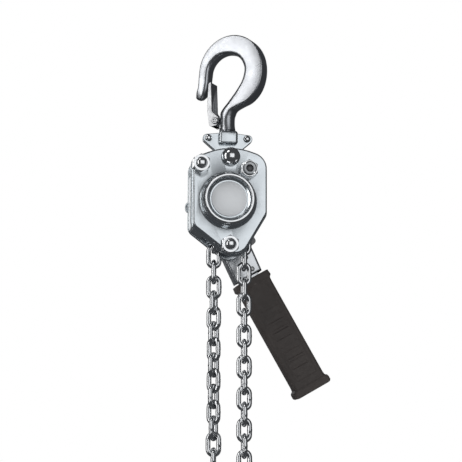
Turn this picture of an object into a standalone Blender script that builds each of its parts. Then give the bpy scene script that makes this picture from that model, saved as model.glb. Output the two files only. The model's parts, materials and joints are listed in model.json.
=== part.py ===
"""A mini lever chain hoist (come along winch), hanging by its top hook.

Run with: blender --background --python part.py

The origin is the seat of the top hook, where the load hangs from its support. +Z is up, the gear
cover faces -Y and the lever is behind, on the +Y side. Lengths below are millimetres until MM
scales them to metres.
"""

import math

import bmesh
import bpy
from mathutils import Matrix, Vector
from mathutils.geometry import delaunay_2d_cdt

MM = 0.001
GAP = 0.3  # running clearance between neighbouring pieces

# Where the axes are
SHEAVE_X, SHEAVE_Z = -2.5, -123.0
TOP_PIN_X, TOP_PIN_Z = -0.3, -88.4
HOOK_TURN = math.radians(-35)  # the top hook stands turned on its swivel
LOAD_HOOK_TURN = math.radians(90)

# Load chain, 4 x 12 mm
WIRE_R = 2.0
WIRE_SIDES = 4
LINK_WIRE_R = 1.9  # as modelled, so that links touch only where a weld joins them
PITCH = 12.0
LINK_HALF_WIDTH = 4.55  # from the link's centre to the middle of its wire
POCKETS = 4
CONTACT_R = PITCH / (2 * math.sin(math.pi / (2 * POCKETS)))
TAIL_X = -8.0  # the free fall, from the sheave axis; the loaded fall hangs at CONTACT_R
LOAD_LINKS = 19
TAIL_LINKS = 17
WELD = 1.0  # half the side of the small block that joins two touching links

# Frame plates and the chain space between them
PLATE_IN, PLATE_OUT = 8.5, 11.5
# corners of the side plates and gear cover, from the sheave axis: x, z, corner radius
CASE_CORNERS = (
    (-28.3, -20.2, 8), (-28.1, 34.2, 9), (1.5, 46.6, 50), (32.0, 36.3, 14), (31.8, -9.3, 9), (8.6, -48.6, 13),
)
STAY_LEFT, STAY_RIGHT, STUD_LOW = (-21.5, 27.4), (16.0, 24.5), (0.8, -35.1)
PIN_FROM_SHEAVE = (TOP_PIN_X - SHEAVE_X, TOP_PIN_Z - SHEAVE_Z)
STAY_R, STUD_R, PIN_R = 4.9, 3.9, 5.0
STAY_HEAD_R, STAY_HEAD_END = 5.0, 15.0
COVER_BACK, COVER_FACE, COVER_WALL = -11.8, -21.0, 1.2
DOME_FACE, DISH_FLOOR = -32.0, -27.3
NUT_FLATS, NUT_HEIGHT = 12.6, 8.0

# Gears: module, pair distance and teeth
MODULE = 0.8
PINION_TEETH, CLUSTER_BIG, CLUSTER_SMALL, LOAD_TEETH = 16, 20, 14, 22
PAIR_DISTANCE = MODULE * (PINION_TEETH + CLUSTER_BIG) / 2
FRONT_LAYER, BACK_LAYER = (-19.3, -16.5), (-15.9, -12.5)

# Brake and drive
SHAFT_R = 3.4
BRAKE_COVER_R, BRAKE_COVER_BACK = 24.0, 23.0
COVER_SCREW_X = 26.9
RATCHET_TEETH, RATCHET_R, RATCHET_ROOT = 12, 15.0, 13.2
PAWL_PIN_R = 19.4

# Lever
LEVER_ANGLE = math.radians(-60.5)  # from +X, seen from the gear cover side
LEVER_FRONT, LEVER_BACK = 23.6, 37.6
ARM_ABOVE, ARM_BELOW = (9.2, 6.8), (-15.4, -17.2)  # the arm's two edges, where it starts and where it ends
ARM_START, ARM_END, LEVER_WALL = 32.0, 57.5, 1.6
GRIP_START, GRIP_END, GRIP_WIDTH, GRIP_DEPTH = 59.0, 161.0, 27.4, 15.6
GRIP_ACROSS = -4.2  # the grip's middle, off the line through the lever's axis
GRIP_MIDDLE = (LEVER_FRONT + LEVER_BACK) / 2 - 0.6
TONGUE_HALF = 8.0
RIB_COUNT, RIB_SPACING, RIB_LENGTH = 10, 6.4, 14.0
SELECTOR_ALONG = 30.0

# Hook, in its own plane: u across, z up, from the seat; the tip is on the -u side
HOOK_DEPTH = 10.5
SHANK_R, NECK_R, BUTTON_R = 6.0, 4.6, 5.9
LATCH_PIVOT = (-8.1, -54.4)
YOKE_FACE = -63.8  # height of the face that the hook's shoulder turns on
LOAD_BLOCK_FACE = -246.0  # the same face on the load block, from the sheave axis
LOAD_SEAT_Z = SHEAVE_Z + LOAD_BLOCK_FACE + YOKE_FACE
LOAD_X = SHEAVE_X + CONTACT_R

FINISHES = {
    "zinc": ((0.62, 0.64, 0.66), 0.32, 1.0),
    "chrome": ((0.80, 0.80, 0.80), 0.10, 1.0),
    "forged": ((0.55, 0.54, 0.52), 0.38, 1.0),
    "steel": ((0.42, 0.42, 0.42), 0.35, 1.0),
    "bronze": ((0.55, 0.38, 0.18), 0.40, 1.0),
    "rubber": ((0.055, 0.047, 0.043), 0.60, 0.0),
    "lining": ((0.16, 0.13, 0.10), 0.85, 0.0),
    "polymer": ((0.30, 0.30, 0.31), 0.45, 0.0),
}

# Each moving body and a point on its joint's axis
BODIES = {
    "top_hook": (0, 0, 0),
    "top_latch": (LATCH_PIVOT[0] * math.cos(HOOK_TURN), LATCH_PIVOT[0] * math.sin(HOOK_TURN), LATCH_PIVOT[1]),
    "yoke": (0, 0, YOKE_FACE),
    "frame": (TOP_PIN_X, 0, TOP_PIN_Z),
    "sheave": (SHEAVE_X, 0, SHEAVE_Z),
    "cluster_left": (SHEAVE_X - PAIR_DISTANCE, 0, SHEAVE_Z),
    "cluster_right": (SHEAVE_X + PAIR_DISTANCE, 0, SHEAVE_Z),
    "drive": (SHEAVE_X, 0, SHEAVE_Z),
    "pawl_upper": (SHEAVE_X, 0, SHEAVE_Z + PAWL_PIN_R),
    "pawl_lower": (SHEAVE_X, 0, SHEAVE_Z - PAWL_PIN_R),
    "lever": (SHEAVE_X, 0, SHEAVE_Z),
    "selector": (
        SHEAVE_X + SELECTOR_ALONG * math.cos(LEVER_ANGLE), 0,
        SHEAVE_Z + SELECTOR_ALONG * math.sin(LEVER_ANGLE),
    ),
    "load_chain": (LOAD_X, 0, SHEAVE_Z),
    "load_block": (LOAD_X, 0, SHEAVE_Z - LOAD_LINKS * PITCH + 3),
    "load_hook": (LOAD_X, 0, LOAD_SEAT_Z),
    "load_latch": (LOAD_X, LATCH_PIVOT[0], LOAD_SEAT_Z - LATCH_PIVOT[1]),
    "tail_ring": (SHEAVE_X + TAIL_X, 0, SHEAVE_Z - 22.7 - PITCH * (TAIL_LINKS - 1) - WIRE_R),
}


# Shapes: every function returns points and faces, in millimetres


def loft(rings, closed=False):
    """A skin through rings of equally many points, capped at both ends or closed on itself."""
    count = len(rings[0])
    points = [p for ring in rings for p in ring]
    faces = []
    for i in range(len(rings) if closed else len(rings) - 1):
        a, b = i * count, (i + 1) % len(rings) * count
        faces += [(a + k, a + (k + 1) % count, b + (k + 1) % count, b + k) for k in range(count)]
    if not closed:
        faces += [tuple(range(count)), tuple(range(len(points) - count, len(points)))]
    return points, faces


def prism(outline, low, high):
    """An outline in X and Z, drawn out along Y."""
    return loft([[(x, y, z) for x, z in outline] for y in (low, high)])


def plate(outline, holes, low, high):
    """A flat plate in X and Z with holes through it, from one Y to another."""
    loops = [outline, *holes]
    flat = [Vector(p) for loop in loops for p in loop]
    sides, start = [], 0
    for loop in loops:
        sides.append([start + k for k in range(len(loop))])
        start += len(loop)
    corners, _, triangles = delaunay_2d_cdt(flat, [], sides, 2, 1e-7)[:3]
    points = [(p.x, y, p.y) for y in (low, high) for p in corners]
    count = len(corners)
    faces = [tuple(t) for t in triangles] + [tuple(k + count for k in t) for t in triangles]
    for loop in sides:
        for k, here in enumerate(loop):
            after = loop[(k + 1) % len(loop)]
            faces.append((here, after, after + count, here + count))
    return points, faces


def turned(profile, sides=32, centre=(0, 0), flats=0):
    """A profile of (radius, y) turned about a line along Y. It closes on itself unless it ends on the axis.

    With flats, a radius given as negative is half the distance across that many flats.
    """
    points, rings = [], []
    for radius, y in profile:
        if radius == 0:
            rings.append([len(points)])
            points.append((centre[0], y, centre[1]))
            continue
        rings.append(list(range(len(points), len(points) + sides)))
        for k in range(sides):
            angle = 2 * math.pi * k / sides
            reach = radius
            if radius < 0:
                step = 2 * math.pi / flats
                reach = -radius / math.cos((angle + step / 2) % step - step / 2)
            points.append((centre[0] + reach * math.cos(angle), y, centre[1] + reach * math.sin(angle)))
    faces = []
    open_ended = len(rings[0]) == 1
    for a, b in zip(rings, rings[1:] if open_ended else rings[1:] + rings[:1]):
        for k in range(sides):
            after = (k + 1) % sides
            if len(a) == 1:
                faces.append((a[0], b[k], b[after]))
            elif len(b) == 1:
                faces.append((a[k], a[after], b[0]))
            else:
                faces.append((a[k], a[after], b[after], b[k]))
    return points, faces


def block(x, y, z):
    """A box between pairs of limits."""
    return prism([(x[0], z[0]), (x[1], z[0]), (x[1], z[1]), (x[0], z[1])], *y)


def circle(centre, radius, sides=16):
    turns = [2 * math.pi * k / sides for k in range(sides)]
    return [(centre[0] + radius * math.cos(a), centre[1] + radius * math.sin(a)) for a in turns]


def filleted(corners, longest=4.0):
    """An outline through (x, z, radius) corners, each rounded by an arc with steps about this long."""
    outline = []
    for i, (x, z, radius) in enumerate(corners):
        here = Vector((x, z))
        back = (Vector(corners[i - 1][:2]) - here).normalized()
        ahead = (Vector(corners[(i + 1) % len(corners)][:2]) - here).normalized()
        half = back.angle(ahead) / 2
        reach = radius / math.tan(half)
        middle = here + (back + ahead).normalized() * radius / math.sin(half)
        start, end = here + back * reach - middle, here + ahead * reach - middle
        sweep = start.angle_signed(end)
        steps = max(2, round(abs(sweep) * radius / longest / 1.4))
        for k in range(steps + 1):
            outline.append(tuple(middle + Matrix.Rotation(-sweep * k / steps, 2) @ start))
    return outline


def inset(outline, distance):
    """The outline moved inwards, corner for corner."""
    area = sum(a[0] * b[1] - b[0] * a[1] for a, b in zip(outline, outline[1:] + outline[:1]))
    turn = math.copysign(1, area)
    moved = []
    for i, point in enumerate(outline):
        here = Vector(point)
        back = (here - Vector(outline[i - 1])).normalized()
        ahead = (Vector(outline[(i + 1) % len(outline)]) - here).normalized()
        normal = (back + ahead).normalized().orthogonal() * turn
        moved.append(tuple(here + normal * distance / max(0.5, normal.dot(back.orthogonal() * turn))))
    return moved


def shifted(outline, x, z):
    return [(px + x, pz + z) for px, pz in outline]


def placed(shape, matrix):
    points, faces = shape
    return [tuple(matrix @ Vector(p)) for p in points], faces


def hook_plane(u, depth, z, turn=HOOK_TURN):
    """A point of the hook's own plane in the part's frame."""
    return (u * math.cos(turn) - depth * math.sin(turn), u * math.sin(turn) + depth * math.cos(turn), z)


# Objects


def finish_of(name):
    material = bpy.data.materials.get(name)
    if material is None:
        colour, roughness, metallic = FINISHES[name]
        material = bpy.data.materials.new(name)
        material.use_nodes = True
        surface = material.node_tree.nodes["Principled BSDF"]
        surface.inputs["Base Color"].default_value = (*colour, 1)
        surface.inputs["Roughness"].default_value = roughness
        surface.inputs["Metallic"].default_value = metallic
        material.diffuse_color = (*colour, 1)
    return material


def mesh_of(name, shape, origin):
    points, faces = shape
    mesh = bpy.data.meshes.new(name)
    mesh.from_pydata([(Vector(p) - Vector(origin)) * MM for p in points], [], faces)
    work = bmesh.new()
    work.from_mesh(mesh)
    bmesh.ops.recalc_face_normals(work, faces=work.faces)
    work.to_mesh(mesh)
    work.free()
    mesh.shade_smooth()
    mesh.set_sharp_from_angle(angle=math.radians(32))
    return mesh


def piece(name, body, finish, shape, add=(), cut=()):
    """One named sub-part on its body's empty, with shapes joined to it and shapes cut from it."""
    origin = BODIES[body]
    made = bpy.data.objects.new(name, mesh_of(name, shape, origin))
    made.data.materials.append(finish_of(finish))
    bpy.context.collection.objects.link(made)
    made.parent = bpy.data.objects[f"{body}_axis"]
    for operation, shapes in (("UNION", add), ("DIFFERENCE", cut)):
        for number, extra in enumerate(shapes):
            label = f"{name}_{operation.lower()}_{number}"
            helper = bpy.data.objects.new(label, mesh_of(label, extra, origin))
            bpy.context.collection.objects.link(helper)
            helper.parent = made.parent
            helper.hide_render = True
            helper.display_type = "WIRE"
            boolean = made.modifiers.new(label, "BOOLEAN")
            boolean.operation = operation
            boolean.solver = "EXACT"
            boolean.object = helper
    return made


def body_empties():
    for name, place in BODIES.items():
        empty = bpy.data.objects.new(f"{name}_axis", None)
        empty.location = Vector(place) * MM
        bpy.context.collection.objects.link(empty)


# Frame


def case_outline(distance=0.0):
    outline = filleted(CASE_CORNERS)
    return shifted(inset(outline, distance) if distance else outline, SHEAVE_X, SHEAVE_Z)


def at_sheave(place):
    return place[0] + SHEAVE_X, place[1] + SHEAVE_Z


def side_plates():
    shared = [
        circle(at_sheave((0, 0)), 9.5),
        circle(at_sheave(STAY_LEFT), STUD_R + GAP, 16),
        circle(at_sheave(STAY_RIGHT), STUD_R + GAP, 16),
        circle(at_sheave(PIN_FROM_SHEAVE), PIN_R + GAP, 16),
    ]
    stud = circle(at_sheave(STUD_LOW), STUD_R + GAP, 16)
    journals = [circle(at_sheave((side * PAIR_DISTANCE, 0)), 3.0, 16) for side in (-1, 1)]
    front = [*shared, stud, *journals]
    piece("gear_side_plate", "frame", "zinc", plate(case_outline(0.6), front, -PLATE_OUT, -PLATE_IN))
    pins = [circle(at_sheave((0, side * PAWL_PIN_R)), 2.3, 12) for side in (-1, 1)]
    lever_side = plate(case_outline(0.6), [*shared, *pins], PLATE_IN, PLATE_OUT)
    piece("lever_side_plate", "frame", "zinc", lever_side)


def chain_guard():
    """The folded strip that closes the chain space down its left side and along its lower left."""
    edge = filleted(((-27.3, -19.5, 6), (-27.3, 22, 0.6), (-25.8, 22, 0.6), (-25.8, -18.7, 4.5),
                     (-17.2, -25.2, 0.6), (-18.1, -26.5, 0.6)), 3)
    strip = prism(shifted(edge, SHEAVE_X, SHEAVE_Z), -PLATE_IN + GAP, PLATE_IN - GAP)
    piece("chain_guard", "frame", "zinc", strip)


def chain_stripper():
    """The finger that lifts the chain out of the sheave's groove, on its block between the two falls."""
    x, z = SHEAVE_X, SHEAVE_Z
    base = block((x + 0.2, x + 7.6), (-PLATE_IN + GAP, PLATE_IN - GAP), (z - 33.5, z - 18.6))
    finger = block((x + 1.2, x + 6.2), (-2.0, 2.0), (z - 20.0, z - 9.5))
    piece("chain_stripper", "frame", "steel", base, add=[finger])


def gear_cover():
    """The pressed cover over the gears: a shallow pan with a round dome and a dished face."""
    rings = ((0.0, COVER_BACK), (0.0, COVER_BACK - 0.9), (1.1, COVER_BACK - 1.3), (1.3, COVER_FACE + 2.2),
             (2.0, COVER_FACE + 0.7), (3.6, COVER_FACE))
    pan = loft([[(px, y, pz) for px, pz in case_outline(d)] for d, y in rings])
    centre = at_sheave((0, 0))
    dome = turned(((0, -20.2), (22.6, -20.2), (22.4, -21.4), (21.4, -22.0), (21.1, -24.2), (20.4, -25.0),
                   (19.7, -30.4), (18.7, DOME_FACE), (17.3, DOME_FACE + 0.3), (16.4, -28.6),
                   (14.6, DISH_FLOOR), (0, DISH_FLOOR)), 30, centre)
    inner = ((2.6, COVER_BACK + 1), (2.6, COVER_FACE + COVER_WALL + 1.2), (4.2, COVER_FACE + COVER_WALL))
    hollow = loft([[(px, y, pz) for px, pz in case_outline(d)] for d, y in inner])
    well_end = DISH_FLOOR + COVER_WALL
    well = turned(((0, -19), (20.2, -19), (18.9, well_end), (0, well_end)), 24, centre)
    bores = [(place, STUD_R + GAP) for place in (STAY_LEFT, STAY_RIGHT, STUD_LOW)]
    bores.append((PIN_FROM_SHEAVE, PIN_R + GAP))
    drills = [prism(circle(at_sheave(place), radius, 16), COVER_FACE - 2, COVER_BACK + 2)
              for place, radius in bores]
    piece("gear_cover", "frame", "zinc", pan, add=[dome], cut=[hollow, well, *drills])
    near, far = DISH_FLOOR - GAP, DISH_FLOOR - GAP - 0.5
    piece("name_disc", "frame", "zinc", turned(((0, far), (13.7, far), (13.7, near), (0, near)), 36, centre))


def stay_bolts():
    for side, place in (("left", STAY_LEFT), ("right", STAY_RIGHT)):
        crown = COVER_FACE - GAP - NUT_HEIGHT
        end = crown - 3.0 if side == "left" else crown + 1.6
        profile = ((0, end), (STUD_R - 1.4, end + 0.2), (STUD_R, end + 1.4), (STUD_R, -PLATE_IN + GAP),
                   (STAY_R, -PLATE_IN + GAP), (STAY_R, PLATE_IN - GAP), (STUD_R, PLATE_IN - GAP),
                   (STUD_R, PLATE_OUT + GAP), (STAY_HEAD_R, PLATE_OUT + GAP),
                   (STAY_HEAD_R, STAY_HEAD_END - 0.8), (STAY_HEAD_R - 1, STAY_HEAD_END), (0, STAY_HEAD_END))
        piece(f"stay_bolt_{side}", "frame", "chrome", turned(profile, 16, at_sheave(place)))
    end = COVER_FACE - GAP - NUT_HEIGHT - 3.0
    stud = ((0, end), (STUD_R - 1.4, end + 0.2), (STUD_R, end + 1.4), (STUD_R, -PLATE_IN), (0, -PLATE_IN))
    piece("cover_stud_bottom", "frame", "chrome", turned(stud, 16, at_sheave(STUD_LOW)))


def cover_nuts():
    near, far = COVER_FACE - GAP, COVER_FACE - GAP - NUT_HEIGHT
    half = NUT_FLATS / 2
    plain = ((STUD_R + GAP, near), (-half, near), (-half, far + 0.9), (half + 0.1, far), (STUD_R + GAP, far))
    locking = ((STUD_R + GAP, near), (-half, near), (-half, far + 2.2), (half - 0.1, far + 1.6), (4.9, far),
               (STUD_R + GAP, far))
    for name, place, profile in (("left", STAY_LEFT, plain), ("right", STAY_RIGHT, locking),
                                 ("bottom", STUD_LOW, plain)):
        piece(f"cover_nut_{name}", "frame", "chrome", turned(profile, 24, at_sheave(place), flats=6))


def top_pin():
    near = COVER_FACE - GAP
    profile = ((0, near - 6.5), (2.6, near - 6.2), (5.2, near - 5.0), (6.8, near - 3.0), (7.35, near - 0.8),
               (7.35, near), (PIN_R, near), (PIN_R, PLATE_OUT + GAP), (6.6, PLATE_OUT + GAP), (6.6, 14.0),
               (5.4, 15.0), (0, 15.0))
    piece("top_pin", "frame", "chrome", turned(profile, 24, (TOP_PIN_X, TOP_PIN_Z)))


def sheave_bushes():
    for name, low in (("front", -PLATE_OUT), ("rear", PLATE_IN)):
        ring = ((8.2, low + GAP), (9.2, low + GAP), (9.2, low + 2.7), (8.2, low + 2.7))
        piece(f"sheave_bush_{name}", "frame", "bronze", turned(ring, 24, at_sheave((0, 0))))


def brake_cover():
    cup = ((BRAKE_COVER_R, 11.8), (BRAKE_COVER_R, 21.4), (22.4, BRAKE_COVER_BACK),
           (11.6, BRAKE_COVER_BACK), (11.6, 21.7), (21.8, 21.7), (22.6, 20.8), (22.6, 11.8))
    holes = [prism(circle(at_sheave((x, 0)), 1.8, 12), 11, 14) for x in (-COVER_SCREW_X, COVER_SCREW_X)]
    ears = []
    for side in (-1, 1):
        reach = sorted((SHEAVE_X + side * 23.0, SHEAVE_X + side * 29.4))
        ears.append(block(reach, (11.8, 13.2), (SHEAVE_Z - 4, SHEAVE_Z + 4)))
    piece("brake_cover", "frame", "zinc", turned(cup, 28, at_sheave((0, 0))), add=ears, cut=holes)
    for side, x in (("left", -COVER_SCREW_X), ("right", COVER_SCREW_X)):
        screw = ((0, 11.8), (1.5, 11.8), (1.5, 13.5), (2.5, 13.5), (2.3, 15.0), (0, 15.4))
        piece(f"brake_cover_screw_{side}", "frame", "chrome", turned(screw, 12, at_sheave((x, 0))))


def pawl_pins():
    for name, side in (("upper", 1), ("lower", -1)):
        pin = ((0, PLATE_IN + 0.2), (2.0, PLATE_IN + 0.2), (2.0, 20.2), (0, 20.2))
        piece(f"pawl_pin_{name}", "frame", "steel", turned(pin, 12, at_sheave((0, side * PAWL_PIN_R))))


# Sheave, gears and drive


def gear_outline(teeth, turn=0.0, centre=(0, 0)):
    """An involute gear with a little backlash, one flank after the other."""
    pitch_r = MODULE * teeth / 2
    base = pitch_r * math.cos(math.radians(20))
    tip, root = pitch_r + 0.9 * MODULE, pitch_r - 1.15 * MODULE
    involute = math.tan(math.radians(20)) - math.radians(20)
    half = math.pi / (2 * teeth) - 0.03 * MODULE / pitch_r + involute

    def half_angle(radius):
        if radius <= base:
            return half
        at = math.acos(base / radius)
        return half - (math.tan(at) - at)

    radii = (root, tip)
    outline = []
    for tooth in range(teeth):
        middle = turn + 2 * math.pi * tooth / teeth
        flank = [(r, half_angle(r)) for r in radii]
        for r, a in [(r, -a) for r, a in flank] + [(r, a) for r, a in reversed(flank)]:
            outline.append((centre[0] + r * math.cos(middle + a), centre[1] + r * math.sin(middle + a)))
    return outline


def load_sheave():
    """The four-pocket chain wheel with its journals, bored for the drive shaft."""
    bore = SHAFT_R + 0.6
    profile = ((bore, -15.9), (5.7, -15.9), (5.7, -12.0), (7.9, -12.0), (7.9, -8.2), (17.0, -8.2),
               (17.0, -2.5), (7.3, -2.5), (7.3, 2.5), (17.0, 2.5), (17.0, 8.2), (7.9, 8.2), (7.9, 12.0),
               (bore, 12.0))
    pockets = []
    for k in range(POCKETS):
        angle = math.radians(22.5) + k * math.pi / 2
        seat = filleted(((-10.3, -6.9, 6.8), (10.3, -6.9, 6.8), (10.3, 6.9, 6.8), (-10.3, 6.9, 6.8)), 3.2)
        frame = Matrix.Rotation(-angle, 4, "Y")
        rings = [[tuple(frame @ Vector((r, w, -t))) for t, w in seat] for r in (12.3, 19.0)]
        pockets.append(([(x + SHEAVE_X, y, z + SHEAVE_Z) for ring in rings for x, y, z in ring],
                        loft(rings)[1]))
    piece("load_sheave", "sheave", "steel", turned(profile, 24, at_sheave((0, 0))), cut=pockets)


def load_gear():
    centre = at_sheave((0, 0))
    ring = plate(gear_outline(LOAD_TEETH, 0, centre), [circle(centre, 6.0, 24)], *BACK_LAYER)
    piece("load_gear", "sheave", "steel", ring)


def mesh_turn(teeth_here, direction, teeth_there, turn_there=0.0):
    """How far a gear is turned so that it meshes with one whose first tooth is at turn_there."""
    turned_back = (direction - turn_there) * teeth_there / teeth_here
    return direction + math.pi + turned_back + math.pi / teeth_here


def cluster_gears():
    """Each cluster carries the drive pinion's motion to the load gear at half the speed."""
    for side, direction in (("left", math.pi), ("right", 0.0)):
        centre = at_sheave((math.cos(direction) * PAIR_DISTANCE, 0))
        small_turn = mesh_turn(CLUSTER_SMALL, direction, LOAD_TEETH)
        big_turn = mesh_turn(CLUSTER_BIG, direction, PINION_TEETH)
        big = prism(gear_outline(CLUSTER_BIG, big_turn, centre), *FRONT_LAYER)
        small = prism(gear_outline(CLUSTER_SMALL, small_turn, centre), FRONT_LAYER[1] - 1, BACK_LAYER[1])
        journal = turned(((0, -15), (2.7, -15), (2.7, -9.0), (0, -9.0)), 16, centre)
        piece(f"cluster_gear_{side}", f"cluster_{side}", "steel", big, add=[small, journal])


def drive_line():
    """The drive shaft with its pinion, the load brake stacked on it, the change gear and the hand wheel."""
    centre = at_sheave((0, 0))
    shaft = turned(((0, -19.0), (SHAFT_R, -19.0), (SHAFT_R, 53.0), (2.6, 53.8), (0, 53.8)), 16, centre)
    pinion = prism(gear_outline(PINION_TEETH, 0, centre), *FRONT_LAYER)
    piece("drive_shaft", "drive", "steel", shaft, add=[pinion])
    bore = SHAFT_R + GAP
    rings = {
        "friction_hub": ("steel", ((bore, 12.3), (14.0, 12.3), (14.0, 14.7), (6.0, 14.7), (6.0, 20.2),
                                   (bore, 20.2))),
        "friction_disc_inner": ("lining", ((6.3, 15.0), (13.0, 15.0), (13.0, 16.0), (6.3, 16.0))),
        "friction_disc_outer": ("lining", ((6.3, 19.2), (13.0, 19.2), (13.0, 20.2), (6.3, 20.2))),
        "change_gear": ("steel", ((bore, 20.5), (13.0, 20.5), (13.0, 21.4), (11.0, 21.4), (11.0, 26.0),
                                  (8.2, 26.0), (8.2, 38.2), (bore, 38.2))),
    }
    for name, (finish, profile) in rings.items():
        piece(name, "drive", finish, turned(profile, 20, centre))
    teeth = []
    for k in range(RATCHET_TEETH):
        angle = 2 * math.pi * k / RATCHET_TEETH
        step = 2 * math.pi / RATCHET_TEETH
        for radius, share in ((RATCHET_R, 0.0), (RATCHET_R, 0.18), (RATCHET_ROOT, 0.9)):
            teeth.append((centre[0] + radius * math.cos(angle + step * share),
                          centre[1] + radius * math.sin(angle + step * share)))
    piece("ratchet_disc", "drive", "steel", plate(teeth, [circle(centre, 6.3)], 16.3, 18.9))
    scallops = [prism(circle(at_sheave((19.2 * math.cos(a), 19.2 * math.sin(a))), 4.2, 12), 36, 52)
                for a in (k * math.pi / 4 for k in range(8))]
    wheel = turned(((bore, 38.6), (16.2, 38.6), (17.0, 39.6), (17.0, 47.2), (15.6, 48.6), (bore, 48.6)), 24, centre)
    piece("hand_wheel", "drive", "zinc", wheel, cut=scallops)
    nut = ((bore, 48.9), (-5.0, 48.9), (-5.0, 52.4), (4.9, 52.9), (bore, 52.9))
    piece("end_nut", "drive", "chrome", turned(nut, 24, centre, flats=6))


def brake_pawls():
    """Two sprung pawls that ride on the ratchet disc's teeth."""
    for name, side in (("upper", 1), ("lower", -1)):
        outline = filleted([(side * x, side * z, r) for x, z, r in (
            (-1.2, -2.9, 0.3), (2.6, -2.6, 1.5), (2.6, 2.3, 1.5), (-4.0, 2.3, 1.5), (-7.8, -3.2, 0.8),
            (-6.6, -4.5, 0.3))], 1.5)
        outline = shifted(outline, *at_sheave((0, side * PAWL_PIN_R)))
        hole = circle(at_sheave((0, side * PAWL_PIN_R)), 2.0 + 0.25, 12)
        piece(f"brake_pawl_{name}", f"pawl_{name}", "steel", plate(outline, [hole], 16.3, 18.9))


# Lever


def on_lever(points):
    """Points given along and across the lever, in X and Z."""
    along = (math.cos(LEVER_ANGLE), math.sin(LEVER_ANGLE))
    across = (-along[1], along[0])
    return [at_sheave((a * along[0] + c * across[0], a * along[1] + c * across[1])) for a, c in points]


def lever_outline(distance=0.0, end=ARM_END):
    """The round head and the arm, which hangs further below the head's axis than above it."""
    head = 19.5 - distance
    turns = (math.radians(50 + 260 * k / 20) for k in range(21))
    arc = [(head * math.cos(a), head * math.sin(a)) for a in turns]
    above = [(end, ARM_ABOVE[1] - distance), (ARM_START, ARM_ABOVE[0] - distance)]
    below = [(ARM_START, ARM_BELOW[0] + distance), (end, ARM_BELOW[1] + distance)]
    return on_lever([*above, *arc, *below])


def across_grip(start, end, half):
    """A rectangle along the grip's middle line."""
    low, high = GRIP_ACROSS - half, GRIP_ACROSS + half
    return on_lever([(start, low), (end, low), (end, high), (start, high)])


def lever():
    """The pressed lever: a channel closed by a back plate, its inner tongue carrying the rubber grip."""
    rivets = {"upper": 42.5, "lower": 53.0}
    head = circle(at_sheave((0, 0)), 11.4)
    holes = [circle(on_lever([(a, 0)])[0], 2.0, 12) for a in rivets.values()]
    pivot = circle(on_lever([(SELECTOR_ALONG, 0)])[0], 2.6, 12)
    inside = LEVER_BACK - LEVER_WALL
    shell = prism(lever_outline(), LEVER_FRONT, inside - GAP)
    hollow = prism(lever_outline(LEVER_WALL, ARM_END - LEVER_WALL), LEVER_FRONT + LEVER_WALL, LEVER_BACK + 5)
    tongue = prism(across_grip(55, 150, TONGUE_HALF - 0.6), 25.6, 34.4)
    drills = [prism(h, LEVER_FRONT - 2, LEVER_BACK + 2) for h in (head, *holes)]
    piece("lever_front_half", "lever", "zinc", shell, add=[tongue], cut=[hollow, *drills])
    back = plate(lever_outline(), [circle(at_sheave((0, 0)), 9.0), *holes, pivot], inside, LEVER_BACK)
    piece("lever_rear_half", "lever", "zinc", back)
    for name, along in rivets.items():
        rivet = ((0, 22.9), (2.4, 23.3), (1.75, 23.3), (1.75, LEVER_BACK + GAP), (3.2, LEVER_BACK + GAP),
                 (2.4, LEVER_BACK + 1.4), (0, LEVER_BACK + 1.8))
        piece(f"lever_rivet_{name}", "lever", "steel", turned(rivet, 12, on_lever([(along, 0)])[0]))


def grip_ring(along, half_width, half_depth, corner):
    """A rounded rectangle across the lever at one place along it."""
    section = filleted(((-half_width, -half_depth, corner), (half_width, -half_depth, corner),
                        (half_width, half_depth, corner), (-half_width, half_depth, corner)), 1.6)
    places = on_lever([(along, GRIP_ACROSS + across) for across, _ in section])
    return [(x, GRIP_MIDDLE + depth, z) for (x, z), (_, depth) in zip(places, section)]


def lever_grip():
    """The rubber grip, with a collar at each end and ribs on its front face."""
    w, d, s, e = GRIP_WIDTH / 2, GRIP_DEPTH / 2, GRIP_START, GRIP_END
    rings = [(s, w + 1.6, d + 0.6), (s + 5, w + 1.8, d + 0.8), (s + 7, w, d), (e - 9, w, d),
             (e - 6, w + 2.1, d + 1.4), (e - 1.2, w + 2.3, d + 1.4), (e, w + 1.2, d + 0.4)]
    body = loft([grip_ring(a, hw, hd, 2.4) for a, hw, hd in rings])
    slot = prism(across_grip(s - 3, 150.5, TONGUE_HALF), 25.2, 34.8)
    first = e - 14 - RIB_SPACING * (RIB_COUNT - 1)
    ribs = []
    for k in range(RIB_COUNT):
        at = first + k * RIB_SPACING
        rib = across_grip(at - 1.1, at + 1.1, RIB_LENGTH / 2)
        ribs.append(prism(rib, GRIP_MIDDLE - d - 0.6, GRIP_MIDDLE - d + 1))
    piece("lever_grip", "lever", "rubber", body, add=ribs, cut=[slot])


def selector():
    """The up / down selector: a pawl inside the lever and its knob behind it, on one pivot."""
    centre = on_lever([(SELECTOR_ALONG, 0)])[0]
    wedge = on_lever([(17.0, -3.4), (19.5, -5.6), (30, -5.6), (35, -3.5), (36.2, 0), (35, 3.5), (30, 5.6),
                      (19.5, 5.6), (17.0, 3.4)])
    pawl = plate(wedge, [circle(centre, 1.75, 12)], 27.5, 33.5)
    pin = turned(((0, 26.0), (1.5, 26.0), (1.5, 40.0), (0, 40.0)), 12, centre)
    knob = prism(on_lever([(26.5, -3.0), (34.5, -3.0), (36.5, 5.0), (34.5, 17.0), (29.0, 18.5), (27.0, 17.0),
                           (25.5, 5.0)]), LEVER_BACK + 0.8, LEVER_BACK + 6.4)
    piece("selector_pawl", "selector", "steel", pawl)
    piece("selector_knob", "selector", "polymer", knob, add=[pin])


# Yoke and hooks


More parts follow.
